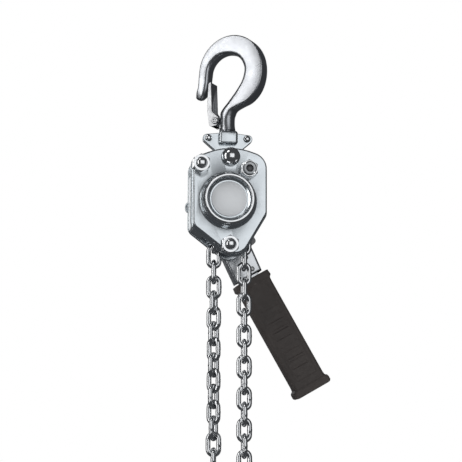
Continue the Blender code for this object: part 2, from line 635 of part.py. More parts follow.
def yoke():
    """Two pressed halves riveted round the hook's button and carried on the top pin."""
    ears = ((-19.7, -71.0, 3), (-19.7, -66.4, 3), (-7.0, -65.0, 2), (7.0, -65.0, 2), (19.7, -66.4, 3),
            (19.7, -71.0, 3), (10.6, -79.0, 3), (7.2, -95.0, 6.5), (-7.2, -95.0, 6.5), (-10.6, -79.0, 3))
    holes = [circle((TOP_PIN_X, TOP_PIN_Z), PIN_R + GAP, 20), circle((-15.4, -69.3), 2.0, 12),
             circle((15.4, -69.3), 2.0, 12)]
    cavity = block((-6.3, 6.3), (-6.3, 6.3), (-73.4, -66.0))
    throat = placed(turned(((0, -68.0), (NECK_R + GAP, -68.0), (NECK_R + GAP, -60.0), (0, -60.0)), 20),
                    Matrix.Rotation(math.pi / 2, 4, "X"))
    for name, side in (("front", -1), ("rear", 1)):
        limits = sorted((side * 0.15, side * 3.0))
        emboss = sorted((side * 0.15, side * 8.0))
        box = block((-7.5, 7.5), emboss, (-74.8, YOKE_FACE))
        piece(f"yoke_{name}_half", "yoke", "zinc", plate(filleted(ears), holes, *limits), add=[box],
              cut=[cavity, throat])
    for name, x in (("left", -15.4), ("right", 15.4)):
        rivet = ((0, -4.9), (1.6, -4.7), (2.8, -3.3), (1.7, -3.3), (1.7, 3.3), (2.8, 3.3), (1.6, 4.7), (0, 4.9))
        piece(f"yoke_rivet_{name}", "yoke", "steel", turned(rivet, 12, (x, -69.3)))


def hook_section(inner, outer, depth, corner):
    """A rounded section across the hook, between a point on its inner side and one on its outer side."""
    a, b = Vector(inner), Vector(outer)
    middle, across = (a + b) / 2, (b - a) / 2
    width = across.length
    corner = min(corner, 0.48 * width, 0.48 * depth) * 0.8
    share = 1 - 2 * corner / width
    half, inside = depth / 2, depth / 2 - corner
    offsets = []
    for su, sd in ((1, 1), (-1, 1), (-1, -1), (1, -1)):
        quarter = [(su, sd * inside), (su * share, sd * half)]
        offsets += quarter if su * sd > 0 else quarter[::-1]
    return [(middle + across * u, d) for u, d in offsets]


def hook_rings():
    """The forged hook's sections from its tip over the bowl and down its back to the shank."""
    spans = [((-21.5, -34.5), (-27.5, -32.5), 5.5, 2.4), ((-17.8, -31.0), (-26.2, -28.5), 8.5, 3.6),
             ((-15.6, -24.5), (-24.4, -24.0), 9.6, 4.2)]
    for k in range(10):
        angle = math.pi * (1 - k / 9)
        inner = (1 + 15.6 * math.cos(angle), -15.6 + 15.6 * math.sin(angle))
        outer = (4.9 + 28.3 * math.cos(angle), -15.5 + 30.2 * math.sin(angle))
        spans.append((inner, outer, HOOK_DEPTH, 3.4))
    back = (((14.6, -23.5), (31.8, -26.0)), ((9.6, -31.0), (27.8, -34.8)), ((5.0, -36.4), (21.2, -41.2)),
            ((1.0, -40.8), (13.2, -44.4)), ((-2.6, -44.6), (8.2, -47.0)), ((-5.2, -48.6), (6.4, -50.6)))
    spans += [(inner, outer, HOOK_DEPTH + 0.2 * k, 3.4) for k, (inner, outer) in enumerate(back)]
    shank = ((SHANK_R, -53.5), (SHANK_R, -58.5), (SHANK_R + 0.8, -62.6))
    spans += [((-r, z), (r, z), 12.0, 5.8) for r, z in shank]
    return [hook_section(*span) for span in spans]


def hook_shapes(turn, seat=0.0, flip=1, x=0.0):
    """The hook's body, its added shapes and its cuts. A flipped hook hangs with its bowl down."""

    def put(u, depth, z):
        px, py, pz = hook_plane(u, depth, z, turn)
        return px + x, py, seat + flip * pz

    body = loft([[put(p.x, d, p.y) for p, d in ring] for ring in hook_rings()])
    stem = [[put(r * math.cos(a), r * math.sin(a), z) for a in (2 * math.pi * k / 16 for k in range(16))]
            for r, z in ((NECK_R, -61.0), (NECK_R, -68.4), (BUTTON_R, -68.4), (BUTTON_R, -72.6))]
    lug = loft([[put(LATCH_PIVOT[0] + a, d, LATCH_PIVOT[1] + b) for a, b in circle((0, 0), 3.5, 16)]
                for d in (-2.9, 2.9)])
    web = loft([[put(u, d, z) for u, z in ((-8, -57.5), (-1, -60), (-1, -48), (-8, -51))]
                for d in (-2.9, 2.9)])
    sides = [loft([[put(u, d, z) for u, z in ((-30, -60.6), (-3.9, -60.6), (-3.9, -46.5), (-30, -46.5))]
                   for d in limits]) for limits in ((-9, -3.0), (3.0, 9))]
    drill = loft([[put(LATCH_PIVOT[0] + a, d, LATCH_PIVOT[1] + b) for a, b in circle((0, 0), 2.0, 12)]
                  for d in (-6, 6)])
    return body, [loft(stem), lug, web], [*sides, drill]


def latch_shapes(turn, seat=0.0, flip=1, x=0.0):
    """The sprung latch, a folded channel that closes the hook's mouth, and its rivet."""

    def put(u, depth, z):
        px, py, pz = hook_plane(u, depth, z, turn)
        return px + x, py, seat + flip * pz

    outline = ((-13.4, -57.6), (-11.6, -58.9), (-7.0, -58.2), (-4.9, -55.6), (-5.4, -51.8), (-11.0, -46.5),
               (-11.8, -22.5), (-12.6, -22.0), (-14.1, -23.2), (-15.2, -40.0), (-14.9, -48.0))
    inner = ((-12.2, -60.0), (0.0, -60.0), (0.0, -20.5), (-11.4, -20.5), (-13.7, -40.0), (-13.5, -48.0))
    body = loft([[put(u, d, z) for u, z in outline] for d in (-5.6, 5.6)])
    slot = loft([[put(u, d, z) for u, z in inner] for d in (-4.2, 4.2)])
    drill = loft([[put(LATCH_PIVOT[0] + a, d, LATCH_PIVOT[1] + b) for a, b in circle((0, 0), 2.0, 12)]
                  for d in (-7, 7)])
    rivet = loft([[put(LATCH_PIVOT[0] + r * math.cos(a), d, LATCH_PIVOT[1] + r * math.sin(a))
                   for a in (2 * math.pi * k / 12 for k in range(12))]
                  for r, d in ((2.4, -6.7), (2.8, -5.9), (1.7, -5.9), (1.7, 5.9), (2.8, 5.9), (2.4, 6.7))])
    return body, [slot, drill], rivet


def hooks():
    for name, *where in (("top", HOOK_TURN), ("load", LOAD_HOOK_TURN, LOAD_SEAT_Z, -1, LOAD_X)):
        body, add, cut = hook_shapes(*where)
        piece(f"{name}_hook", f"{name}_hook", "forged", body, add=add, cut=cut)
        body, cut, rivet = latch_shapes(*where)
        piece(f"{name}_latch", f"{name}_latch", "steel", body, cut=cut)
        piece(f"{name}_latch_rivet", f"{name}_hook", "steel", rivet)


def load_block():
    """The load hook's fork, which takes the chain's end link on a pin and the hook's button on a swivel."""
    x, face = LOAD_X, SHEAVE_Z + LOAD_BLOCK_FACE
    outline = filleted(((-8, 0, 1.5), (8, 0, 1.5), (8, 25.2, 6), (-8, 25.2, 6)))
    corners = [(px + x, pz + face) for px, pz in outline]
    pin_z = BODIES["load_block"][2]
    upright = Matrix.Translation((x, 0, 0)) @ Matrix.Rotation(math.pi / 2, 4, "X")
    seat = ((0, face + 4.6), (6.3, face + 4.6), (6.3, face + 10.8), (0, face + 10.8))
    throat = ((0, face - 2), (NECK_R + GAP, face - 2), (NECK_R + GAP, face + 6), (0, face + 6))
    seat, throat = (placed(turned(profile, 20), upright) for profile in (seat, throat))
    slot = block((x - 12, x + 12), (-2.8, 2.8), (face + 10.2, face + 40))
    hole = prism(circle((x, pin_z), 2.8, 16), -12, 12)
    piece("load_block", "load_block", "forged", prism(corners, -7.6, 7.6), cut=[slot, seat, throat, hole])
    pin = ((0, -9.0), (4.2, -9.0), (4.2, -7.9), (2.5, -7.9), (2.5, 7.9), (4.2, 7.9), (4.2, 9.0), (0, 9.0))
    piece("load_chain_pin", "load_block", "steel", turned(pin, 16, (x, pin_z)))


# Chain


def link(start, end, standing):
    """One welded link between two contact points in X and Z.

    A standing link lies in the plane of the falls.
    """
    a, b = Vector((start[0], 0, start[1])), Vector((end[0], 0, end[1]))
    along = (b - a).normalized()
    side = Vector((along.z, 0, -along.x)) if standing else Vector((0, 1, 0))
    out = along.cross(side)
    middle = (a + b) / 2
    straight = PITCH / 2 + WIRE_R - LINK_HALF_WIDTH
    rings = []
    for end_sign in (1, -1):
        for k in range(5):
            angle = math.pi / 2 * (1 - k / 2)
            radial = along * end_sign * math.cos(angle) + side * end_sign * math.sin(angle)
            centre = middle + along * end_sign * straight + radial * LINK_HALF_WIDTH
            rings.append([tuple(centre + radial * LINK_WIRE_R * math.cos(t) + out * LINK_WIRE_R * math.sin(t))
                          for t in (2 * math.pi * n / WIRE_SIDES + 0.3 for n in range(WIRE_SIDES))])
    return loft(rings, closed=True)


def wrap_point(step):
    """A contact point on the sheave, counted round from the loaded side."""
    angle = step * math.pi / POCKETS
    return CONTACT_R * math.cos(angle), CONTACT_R * math.sin(angle)


def chain_points():
    """The contact points of the loaded fall, of the wrap and of the free fall, from the sheave axis."""
    load = [(CONTACT_R, -PITCH * k) for k in range(LOAD_LINKS + 1)]
    wrap = [wrap_point(k) for k in range(6)]
    leave = wrap[-1]
    drop = math.sqrt(PITCH**2 - (TAIL_X - leave[0]) ** 2)
    tail = [leave] + [(TAIL_X, leave[1] - drop - PITCH * k) for k in range(TAIL_LINKS)]
    return load, wrap, tail


def chain(name, body, points, first_standing):
    """A run of links as one body: a small weld stands where each pair of links touches."""
    places = [at_sheave(p) for p in points]
    links = [link(a, b, first_standing == (k % 2 == 0)) for k, (a, b) in enumerate(zip(places, places[1:]))]
    cube = block((-WELD, WELD), (-WELD, WELD), (-WELD, WELD))
    askew = Matrix.Rotation(0.7, 4, "Y") @ Matrix.Rotation(0.5, 4, "X")
    welds = [placed(cube, Matrix.Translation((x, 0, z)) @ askew) for x, z in places[1:-1]]
    return piece(name, body, "zinc", links[0], add=links[1:] + welds)


def chains():
    load, wrap, tail = chain_points()
    around = load[2:0:-1] + wrap + tail[1:3]
    chain("chain_on_sheave", "frame", around, False)
    chain("load_chain_upper", "frame", load[2:10], True)
    chain("load_chain_lower", "load_chain", load[9:], False)
    chain("tail_chain", "frame", tail[2:], True)


def tail_ring():
    """The round ring on the chain's free end, which keeps it from running out."""
    x, _, z = BODIES["tail_ring"]
    wire, radius = 1.8, 11.5
    top = z + WIRE_R + wire + GAP + 0.1
    rings = []
    for k in range(24):
        a = 2 * math.pi * k / 24
        radial = Vector((0, math.sin(a), math.cos(a)))
        centre = Vector((x, 0, top - radius)) + radial * radius
        rings.append([tuple(centre + radial * wire * math.cos(t) + Vector((1, 0, 0)) * wire * math.sin(t))
                      for t in (2 * math.pi * n / 8 for n in range(8))])
    piece("tail_ring", "tail_ring", "zinc", loft(rings, closed=True))


def main():
    for old in list(bpy.data.objects):
        bpy.data.objects.remove(old, do_unlink=True)
    body_empties()
    side_plates()
    chain_guard()
    chain_stripper()
    gear_cover()
    stay_bolts()
    cover_nuts()
    top_pin()
    sheave_bushes()
    brake_cover()
    pawl_pins()
    load_sheave()
    load_gear()
    cluster_gears()
    drive_line()
    brake_pawls()
    lever()
    lever_grip()
    selector()
    yoke()
    hooks()
    load_block()
    chains()
    tail_ring()


main()
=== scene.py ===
"""Looks of the mini lever chain hoist: smooth shells, forged hooks, loose chain links and their finishes."""

import json
import math

import bmesh
import bpy
from mathutils import Matrix, Vector
from mathutils.geometry import delaunay_2d_cdt


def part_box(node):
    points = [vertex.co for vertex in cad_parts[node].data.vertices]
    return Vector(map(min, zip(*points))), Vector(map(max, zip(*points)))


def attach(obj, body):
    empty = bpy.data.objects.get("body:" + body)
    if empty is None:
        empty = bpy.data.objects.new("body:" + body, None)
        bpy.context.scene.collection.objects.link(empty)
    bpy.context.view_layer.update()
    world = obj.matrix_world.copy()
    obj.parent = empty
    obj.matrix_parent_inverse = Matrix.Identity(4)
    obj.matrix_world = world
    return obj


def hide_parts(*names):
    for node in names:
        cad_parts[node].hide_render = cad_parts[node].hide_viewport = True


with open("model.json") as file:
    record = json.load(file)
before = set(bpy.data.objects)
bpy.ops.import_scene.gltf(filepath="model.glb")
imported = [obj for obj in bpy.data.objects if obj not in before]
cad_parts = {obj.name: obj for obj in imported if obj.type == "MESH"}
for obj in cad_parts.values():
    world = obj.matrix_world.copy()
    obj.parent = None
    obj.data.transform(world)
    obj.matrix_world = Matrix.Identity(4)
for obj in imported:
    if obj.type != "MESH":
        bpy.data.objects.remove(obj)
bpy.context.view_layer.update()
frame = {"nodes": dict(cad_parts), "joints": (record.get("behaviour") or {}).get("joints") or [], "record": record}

MM = 0.001
BODY_OF = {node: body for body, nodes in frame["record"]["behaviour"]["bodies"].items() for node in nodes}
SLOT_OF = {part["node"]: part["material_slot"] for part in frame["record"]["subparts"]}


def joint_place(name):
    """A joint's point, in millimetres."""
    found = next(j for j in frame["joints"] if j["name"] == name)
    return Vector(found["pos_m"]) / MM


def span(node):
    """A CAD node's lowest and highest corners, in millimetres."""
    low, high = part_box(node)
    return Vector(low) / MM, Vector(high) / MM


SHEAVE = joint_place("sheave_turn")
TOP_PIN = joint_place("top_pin_swing")
LEVER_AXIS = joint_place("selector_rock") - SHEAVE
LEVER_ANGLE = math.atan2(LEVER_AXIS.z, LEVER_AXIS.x)
LOAD_PIN = joint_place("load_block_swing")
TAIL_WIRE = joint_place("tail_ring_swing")

# The case, as in the design: corners from the sheave's axis with their radii
CASE_CORNERS = (
    (-28.3, -20.2, 8), (-28.1, 34.2, 9), (1.5, 46.6, 50), (32.0, 36.3, 14), (31.8, -9.3, 9), (8.6, -48.6, 13),
)
COVER_BACK, COVER_INSIDE, COVER_FACE = -11.8, -19.8, -21.0
DOME_FACE, DISH_FLOOR, WELL_END = -32.0, -27.4, -26.1
DOME_BASE_R = 22.7
STUD_R, PIN_R, GAP = 3.9, 5.0, 0.3
NUT_FLATS, NUT_HEIGHT = 12.6, 8.0

# Chain
WIRE_R, PITCH, LINK_HALF_WIDTH = 1.9, 12.0, 4.2
CONTACT_R = PITCH / (2 * math.sin(math.pi / 8))
LOAD_POINTS, WRAP_POINTS, TAIL_POINTS = 20, 6, 17
TAIL_TWIST = math.radians(42)  # how far the free fall's links wind up between its ends
TWIST_START, TWIST_END = 5, 4  # links over which it winds up and back
MOVING_SHARE = 0.992  # the moving links are this much thinner, so that they can take the still ones' places

# Hook and yoke
HOOK_DEPTH = 10.5
SHANK_R = 6.0
YOKE_RIVETS, YOKE_RIVET_Z = {"left": -15.4, "right": 15.4}, -69.3


# Shapes, in millimetres


class Skin:
    """Points and faces of one closed surface, built ring by ring."""

    def __init__(self):
        self.points, self.faces = [], []

    def ring(self, points):
        start = len(self.points)
        self.points += [Vector(p) for p in points]
        return list(range(start, len(self.points)))

    def strip(self, a, b):
        count = len(a)
        self.faces += [(a[k], a[(k + 1) % count], b[(k + 1) % count], b[k]) for k in range(count)]

    def strips(self, rings, closed=False):
        for a, b in zip(rings, rings[1:] + rings[:1] if closed else rings[1:]):
            self.strip(a, b)

    def cap(self, ring):
        self.faces.append(tuple(ring))

    def fan(self, ring, tip):
        at = self.ring([tip])[0]
        self.faces += [(ring[k], ring[(k + 1) % len(ring)], at) for k in range(len(ring))]

    def flat(self, rings):
        """Fills a face that lies across Y, bounded by the first ring, with the others as holes."""
        at = [k for ring in rings for k in ring]
        sides, start = [], 0
        for ring in rings:
            sides.append(list(range(start, start + len(ring))))
            start += len(ring)
        corners = [Vector((self.points[k].x, self.points[k].z)) for k in at]
        points, _, triangles = delaunay_2d_cdt(corners, [], sides, 2, 1e-7)[:3]
        if len(points) != len(at):
            raise ValueError("two outlines of one flat face cross")
        self.faces += [tuple(at[k] for k in t) for t in triangles]

    def loft(self, rings, closed=False):
        made = [self.ring(r) for r in rings]
        self.strips(made, closed)
        if not closed:
            self.cap(made[0])
            self.cap(made[-1])
        return self

    def join(self, other):
        start = len(self.points)
        self.points += other.points
        self.faces += [tuple(k + start for k in face) for face in other.faces]
        return self

    def insets(self, outline, steps):
        """Rings of an outline across Y, at (inset, y) pairs."""
        return [self.ring(at_y(inset(outline, d) if d else outline, y)) for d, y in steps]

    def rounds(self, profile):
        """Rings about the sheave's axis, at (radius, y) pairs."""
        return [self.ring(at_y(circle(HUB, r, 96), y)) for r, y in profile]


def full_turn(sides):
    return [2 * math.pi * k / sides for k in range(sides)]


def quarter_turn(steps):
    return [math.pi / 2 * k / steps for k in range(steps + 1)]


def circle(centre, radius, sides=48):
    return [(centre[0] + radius * math.cos(a), centre[1] + radius * math.sin(a)) for a in full_turn(sides)]


def arc_between(back, here, ahead, radius, steps):
    """The rounding of one corner of a flat path."""
    back, here, ahead = Vector(back), Vector(here), Vector(ahead)
    to_back, to_ahead = (back - here).normalized(), (ahead - here).normalized()
    half = to_back.angle(to_ahead) / 2
    reach = radius / math.tan(half)
    middle = here + (to_back + to_ahead).normalized() * radius / math.sin(half)
    start, end = here + to_back * reach - middle, here + to_ahead * reach - middle
    sweep = start.angle_signed(end)
    return [tuple(middle + Matrix.Rotation(-sweep * k / steps, 2) @ start) for k in range(steps + 1)]


def filleted(corners, longest=0.8):
    """A closed outline through (x, z, radius) corners."""
    outline = []
    for i, (x, z, radius) in enumerate(corners):
        back, ahead = corners[i - 1][:2], corners[(i + 1) % len(corners)][:2]
        turn = math.pi - (Vector(back) - Vector((x, z))).angle(Vector(ahead) - Vector((x, z)))
        steps = max(3, round(turn * radius / longest))
        outline += arc_between(back, (x, z), ahead, radius, steps)
    return outline


def softened(profile, radius=0.4, steps=3):
    """An open profile of (radius, y) with its inner corners rounded."""
    path = [profile[0]]
    for back, here, ahead in zip(profile, profile[1:], profile[2:]):
        room = min((Vector(back) - Vector(here)).length, (Vector(ahead) - Vector(here)).length)
        angle = (Vector(back) - Vector(here)).angle(Vector(ahead) - Vector(here))
        if math.pi - angle < 0.12:
            path.append(here)
            continue
        reach = min(radius / math.tan(angle / 2), 0.45 * room)
        path += arc_between(back, here, ahead, reach * math.tan(angle / 2), steps)
    return path + [profile[-1]]


def inset(outline, distance):
    area = sum(a[0] * b[1] - b[0] * a[1] for a, b in zip(outline, outline[1:] + outline[:1]))
    turn = math.copysign(1, area)
    moved = []
    for i, point in enumerate(outline):
        here = Vector(point)
        back = (here - Vector(outline[i - 1])).normalized()
        ahead = (Vector(outline[(i + 1) % len(outline)]) - here).normalized()
        normal = (back + ahead).normalized().orthogonal() * turn
        moved.append(tuple(here + normal * distance / max(0.5, normal.dot(back.orthogonal() * turn))))
    return moved


def at_y(outline, y):
    return [(x, y, z) for x, z in outline]


def block(xs, ys, zs):
    """A box between two limits each way."""
    face = [(xs[0], zs[0]), (xs[1], zs[0]), (xs[1], zs[1]), (xs[0], zs[1])]
    return Skin().loft([at_y(face, y) for y in ys])


def upright(profile, x=0.0, sides=48):
    """A profile of (radius, z) turned about a line along Z."""
    return Skin().loft([[(px, y, z) for px, y in circle((x, 0), r, sides)] for r, z in profile])


def edge_steps(width, steps=3):
    """(inset, depth) pairs of a rounded edge, from the face to the side."""
    return [(width * (1 - math.sin(a)), width * (1 - math.cos(a))) for a in quarter_turn(steps)]


def plate(outline, holes, low, high, edge=0.4, steps=3):
    """A flat plate with rounded edges and holes through it."""
    skin = Skin()
    ends = [[], []]
    for number, loop in enumerate([outline, *holes]):
        way, width = (-1, min(edge, 0.3)) if number else (1, edge)
        near = [(way * d, low + y) for d, y in edge_steps(width, steps)]
        far = [(way * d, high - y) for d, y in reversed(edge_steps(width, steps))]
        rings = skin.insets(loop, near + far)
        skin.strips(rings)
        ends[0].append(rings[0])
        ends[1].append(rings[-1])
    skin.flat(ends[0])
    skin.flat(ends[1])
    return skin


def turned(profile, sides=64, centre=(0, 0), reach=None):
    """A profile of (radius, y) turned about a line along Y, closed on itself unless it ends on the axis."""
    skin, rings = Skin(), []
    open_ended = profile[0][0] < 1e-9
    inner = profile[1:-1] if open_ended else profile
    for radius, y in inner:
        ring = []
        for angle in full_turn(sides):
            r = reach(radius, angle, y) if reach else radius
            ring.append((centre[0] + r * math.cos(angle), y, centre[1] + r * math.sin(angle)))
        rings.append(skin.ring(ring))
    skin.strips(rings, closed=not open_ended)
    if open_ended:
        skin.fan(rings[0], (centre[0], profile[0][1], centre[1]))
        skin.fan(rings[-1], (centre[0], profile[-1][1], centre[1]))
    return skin


def hexagon(flats, angle):
    step = math.pi / 3
    return flats / 2 / math.cos((angle + step / 2) % step - step / 2)


# Pieces


def mesh_from(name, skin):
    mesh = bpy.data.meshes.new(name)
    mesh.from_pydata([p * MM for p in skin.points], [], skin.faces)
    work = bmesh.new()
    work.from_mesh(mesh)
    bmesh.ops.remove_doubles(work, verts=work.verts, dist=1e-7)
    bmesh.ops.recalc_face_normals(work, faces=work.faces)
    work.to_mesh(mesh)
    work.free()
    return mesh


def linked(name, data):
    """A new object in the scene's collection."""
    obj = bpy.data.objects.new(name, data)
    bpy.context.collection.objects.link(obj)
    return obj


def carved(obj, tools, operation="DIFFERENCE"):
    """Gives the object the mesh left when the tools' shapes are taken out of it, or joined to it."""
    helpers = []
    for number, skin in enumerate(tools):
        helper = linked(f"tool_{number}", mesh_from("tool", skin))
        modifier = obj.modifiers.new("carve", "BOOLEAN")
        modifier.operation, modifier.solver, modifier.object = operation, "EXACT", helper
        helpers.append(helper)
    graph = bpy.context.evaluated_depsgraph_get()
    graph.update()
    mesh = bpy.data.meshes.new_from_object(obj.evaluated_get(graph))
    obj.modifiers.clear()
    obj.data = mesh
    for helper in helpers:
        bpy.data.objects.remove(helper, do_unlink=True)


def finished(name, skin, material, cut, sharp):
    """An object with its cuts, its material and its shading."""
    obj = linked(name, mesh_from(name, skin))
    if cut:
        carved(obj, cut)
    obj.data.materials.clear()
    obj.data.materials.append(material)
    obj.data.shade_smooth()
    obj.data.set_sharp_from_angle(angle=math.radians(sharp))
    return obj


def piece(node, skin, material, cut=(), bevel=0.0, sharp=35, name=None):
    """One finished piece that stands for its CAD node and rides on the node's body."""
    obj = finished(name or f"{node}_skin", skin, material, cut, sharp)
    if bevel:
        rounding = obj.modifiers.new("rounded_edges", "BEVEL")
        rounding.width, rounding.segments = bevel * MM, 2
        rounding.limit_method, rounding.angle_limit = "ANGLE", math.radians(40)
        rounding.harden_normals = True
    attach(obj, BODY_OF[node])
    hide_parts(node)


def extra_piece(name, skin, material, beside, cut=(), sharp=35):
    """Visible detail that stands for no CAD node of its own: it belongs to the node beside it."""
    obj = finished(name, skin, material, cut, sharp)
    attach(obj, BODY_OF[beside])


# Materials


class Nodes:
    """A small writer of shader node trees."""

    def __init__(self, name, metallic, roughness, colour):
        self.material = bpy.data.materials.new(name)
        self.material.use_nodes = True
        self.tree = self.material.node_tree
        self.surface = self.tree.nodes["Principled BSDF"]
        self.surface.inputs["Metallic"].default_value = metallic
        self.surface.inputs["Roughness"].default_value = roughness
        self.surface.inputs["Base Color"].default_value = (*colour, 1)
        self.place = self.add("ShaderNodeTexCoord").outputs["Object"]

    def add(self, kind, **settings):
        node = self.tree.nodes.new(kind)
        for key, value in settings.items():
            setattr(node, key, value)
        return node

    def join(self, source, target):
        self.tree.links.new(source, target)

    def stretched(self, scale):
        mapping = self.add("ShaderNodeMapping")
        mapping.inputs["Scale"].default_value = scale
        self.join(self.place, mapping.inputs["Vector"])
        return mapping.outputs["Vector"]

    def noise(self, scale, detail=3.0, vector=None, roughness=0.55):
        node = self.add("ShaderNodeTexNoise")
        node.inputs["Scale"].default_value = scale
        node.inputs["Detail"].default_value = detail
        node.inputs["Roughness"].default_value = roughness
        self.join(vector or self.place, node.inputs["Vector"])
        return node.outputs["Fac"]

    def ranged(self, value, low, high, start=0.3, end=0.7):
        node = self.add("ShaderNodeMapRange")
        node.inputs["From Min"].default_value, node.inputs["From Max"].default_value = start, end
        node.inputs["To Min"].default_value, node.inputs["To Max"].default_value = low, high
        self.join(value, node.inputs["Value"])
        return node.outputs["Result"]

    def mixed(self, share, first, second):
        node = self.add("ShaderNodeMix", data_type="RGBA")
        for socket, value in ((node.inputs[6], first), (node.inputs[7], second)):
            if isinstance(value, tuple):
                socket.default_value = (*value, 1)
            else:
                self.join(value, socket)
        self.join(share, node.inputs[0])
        return node.outputs[2]

    def bump(self, height, strength, distance, below=None):
        node = self.add("ShaderNodeBump")
        node.inputs["Strength"].default_value = strength
        node.inputs["Distance"].default_value = distance * MM
        self.join(height, node.inputs["Height"])
        if below:
            self.join(below, node.inputs["Normal"])
        return node.outputs["Normal"]

    def done(self, colour=None, roughness=None, normal=None):
        for value, socket in ((colour, "Base Color"), (roughness, "Roughness"), (normal, "Normal")):
            if value is not None:
                self.join(value, self.surface.inputs[socket])
        return self.material

    # painted highlight: convex edges are made lighter in the colour, standing in for light catching them
    def painted_edge_highlight(self, amount):
        """A mask of convex edges for a painted highlight, broken up by noise."""
        geometry = self.add("ShaderNodeNewGeometry")
        edges = self.ranged(geometry.outputs["Pointiness"], 0, 1, 0.52, 0.60)
        patches = self.ranged(self.noise(260), 0, amount, 0.4, 0.65)
        node = self.add("ShaderNodeMath", operation="MULTIPLY")
        self.join(edges, node.inputs[0])
        self.join(patches, node.inputs[1])
        return node.outputs[0]


def plated(name, light, dark, smooth, rough, grain=0.015):
    """Zinc or nickel plate over pressed steel: a slightly clouded metal with fine grain."""
    n = Nodes(name, 1.0, smooth, light)
    cloud = n.ranged(n.noise(55, 4), 0, 1)
    colour = n.mixed(cloud, dark, light)
    # painted highlight: convex edges lighter than the plate
    colour = n.mixed(n.painted_edge_highlight(0.2), colour, tuple(min(1, c * 1.12) for c in light))
    roughness = n.ranged(n.noise(120, 3), smooth, rough)
    ripple = n.bump(n.noise(38, 2), 0.02, 0.5)
    fine = n.bump(n.noise(2600, 3), grain, 0.05, ripple)
    return n.done(colour, roughness, fine)


def forged(name, light, dark):
    """Forged and plated steel: broad hammer-smooth waves under a satin skin."""
    n = Nodes(name, 1.0, 0.3, light)
    colour = n.mixed(n.ranged(n.noise(80, 5), 0, 1), dark, light)
    # painted highlight: convex edges of the forging lighter
    colour = n.mixed(n.painted_edge_highlight(0.3), colour, tuple(min(1, c * 1.25) for c in light))
    roughness = n.ranged(n.noise(120, 4), 0.26, 0.32)
    waves = n.bump(n.noise(90, 2), 0.06, 0.5)
    return n.done(colour, roughness, n.bump(n.noise(1700, 4), 0.02, 0.05, waves))


def machined(name, light, dark, smooth=0.22, rough=0.4):
    """Turned steel with fine tool rings about the sheave's axis."""
    n = Nodes(name, 1.0, smooth, light)
    rings = n.noise(1, 2, n.stretched((160, 2600, 160)))
    colour = n.mixed(n.ranged(n.noise(90, 4), 0, 1), dark, light)
    return n.done(colour, n.ranged(n.noise(500, 4), smooth, rough), n.bump(rings, 0.10, 0.04))


def brushed_disc(name, centre):
    """A plain plate spun against a brush, so that its grain runs in circles."""
    n = Nodes(name, 1.0, 0.3, (0.78, 0.79, 0.80))
    offset = n.add("ShaderNodeVectorMath", operation="SUBTRACT")
    offset.inputs[1].default_value = centre * MM
    n.join(n.place, offset.inputs[0])
    length = n.add("ShaderNodeVectorMath", operation="LENGTH")
    n.join(offset.outputs["Vector"], length.inputs[0])
    rings = n.add("ShaderNodeTexNoise", noise_dimensions="1D")
    rings.inputs["Scale"].default_value = 7000
    n.join(length.outputs["Value"], rings.inputs["W"])
    fine = rings.outputs["Fac"]
    colour = n.mixed(n.ranged(fine, 0, 1), (0.70, 0.71, 0.72), (0.82, 0.83, 0.84))
    return n.done(colour, n.ranged(fine, 0.28, 0.42), n.bump(fine, 0.12, 0.03))


def moulded(name, light, dark, rough, bumps):
    """Moulded rubber or plastic with a spark-eroded skin and a painted highlight on its convex edges."""
    n = Nodes(name, 0.0, rough, light)
    colour = n.mixed(n.ranged(n.noise(45, 5), 0, 1), dark, light)
    # painted highlight: convex edges much lighter than the moulding
    colour = n.mixed(n.painted_edge_highlight(0.5), colour, tuple(c * 1.7 for c in light))
    skin = n.bump(n.noise(1300, 4), bumps, 0.12)
    n.surface.inputs["Specular IOR Level"].default_value = 0.38
    return n.done(colour, n.ranged(n.noise(350, 4), rough - 0.07, rough + 0.1), skin)


def lining(name):
    """Pressed brake lining: dark binder with brass flecks."""
    n = Nodes(name, 0.0, 0.85, (0.14, 0.11, 0.09))
    flecks = n.ranged(n.noise(2200, 1), 0, 1, 0.62, 0.66)
    colour = n.mixed(flecks, (0.12, 0.10, 0.085), (0.42, 0.32, 0.16))
    return n.done(colour, None, n.bump(n.noise(1500, 4), 0.3, 0.1))


ZINC = plated("zinc_plate", (0.79, 0.835, 0.865), (0.76, 0.805, 0.835), 0.22, 0.27)
ZINC_LEVER = plated("zinc_lever", (0.80, 0.815, 0.835), (0.74, 0.76, 0.78), 0.26, 0.36)
CHAIN = plated("zinc_chain", (0.86, 0.87, 0.88), (0.78, 0.79, 0.80), 0.10, 0.16, 0.01)
CHROME = plated("bright_chrome", (0.88, 0.89, 0.90), (0.83, 0.84, 0.85), 0.12, 0.18, 0.01)
FORGED = forged("forged_nickel", (0.55, 0.565, 0.59), (0.47, 0.48, 0.50))
LATCH = plated("latch_steel", (0.50, 0.505, 0.515), (0.38, 0.385, 0.395), 0.24, 0.36)
# painted shade: the right stay bolt's end is coloured dark in place of the shade of a recessed end
BOLT_END_PAINTED_SHADE = plated("bolt_end_painted_shade", (0.20, 0.20, 0.21), (0.13, 0.13, 0.135), 0.30, 0.45)
STEEL = machined("machined_steel", (0.50, 0.50, 0.50), (0.36, 0.36, 0.36))
BRONZE = machined("bush_bronze", (0.62, 0.43, 0.22), (0.45, 0.30, 0.14), 0.3, 0.5)
LINING = lining("brake_lining")
RUBBER = moulded("grip_rubber", (0.090, 0.077, 0.071), (0.068, 0.058, 0.054), 0.52, 0.16)
POLYMER = moulded("selector_polymer", (0.30, 0.30, 0.31), (0.24, 0.24, 0.25), 0.42, 0.06)
NYLON = moulded("nylon_insert", (0.62, 0.64, 0.66), (0.52, 0.54, 0.56), 0.40, 0.04)
DISC = brushed_disc("brushed_disc", Vector((SHEAVE.x, -28.1, SHEAVE.z)))


# Frame


def from_sheave(x, z):
    return x + SHEAVE.x, z + SHEAVE.z


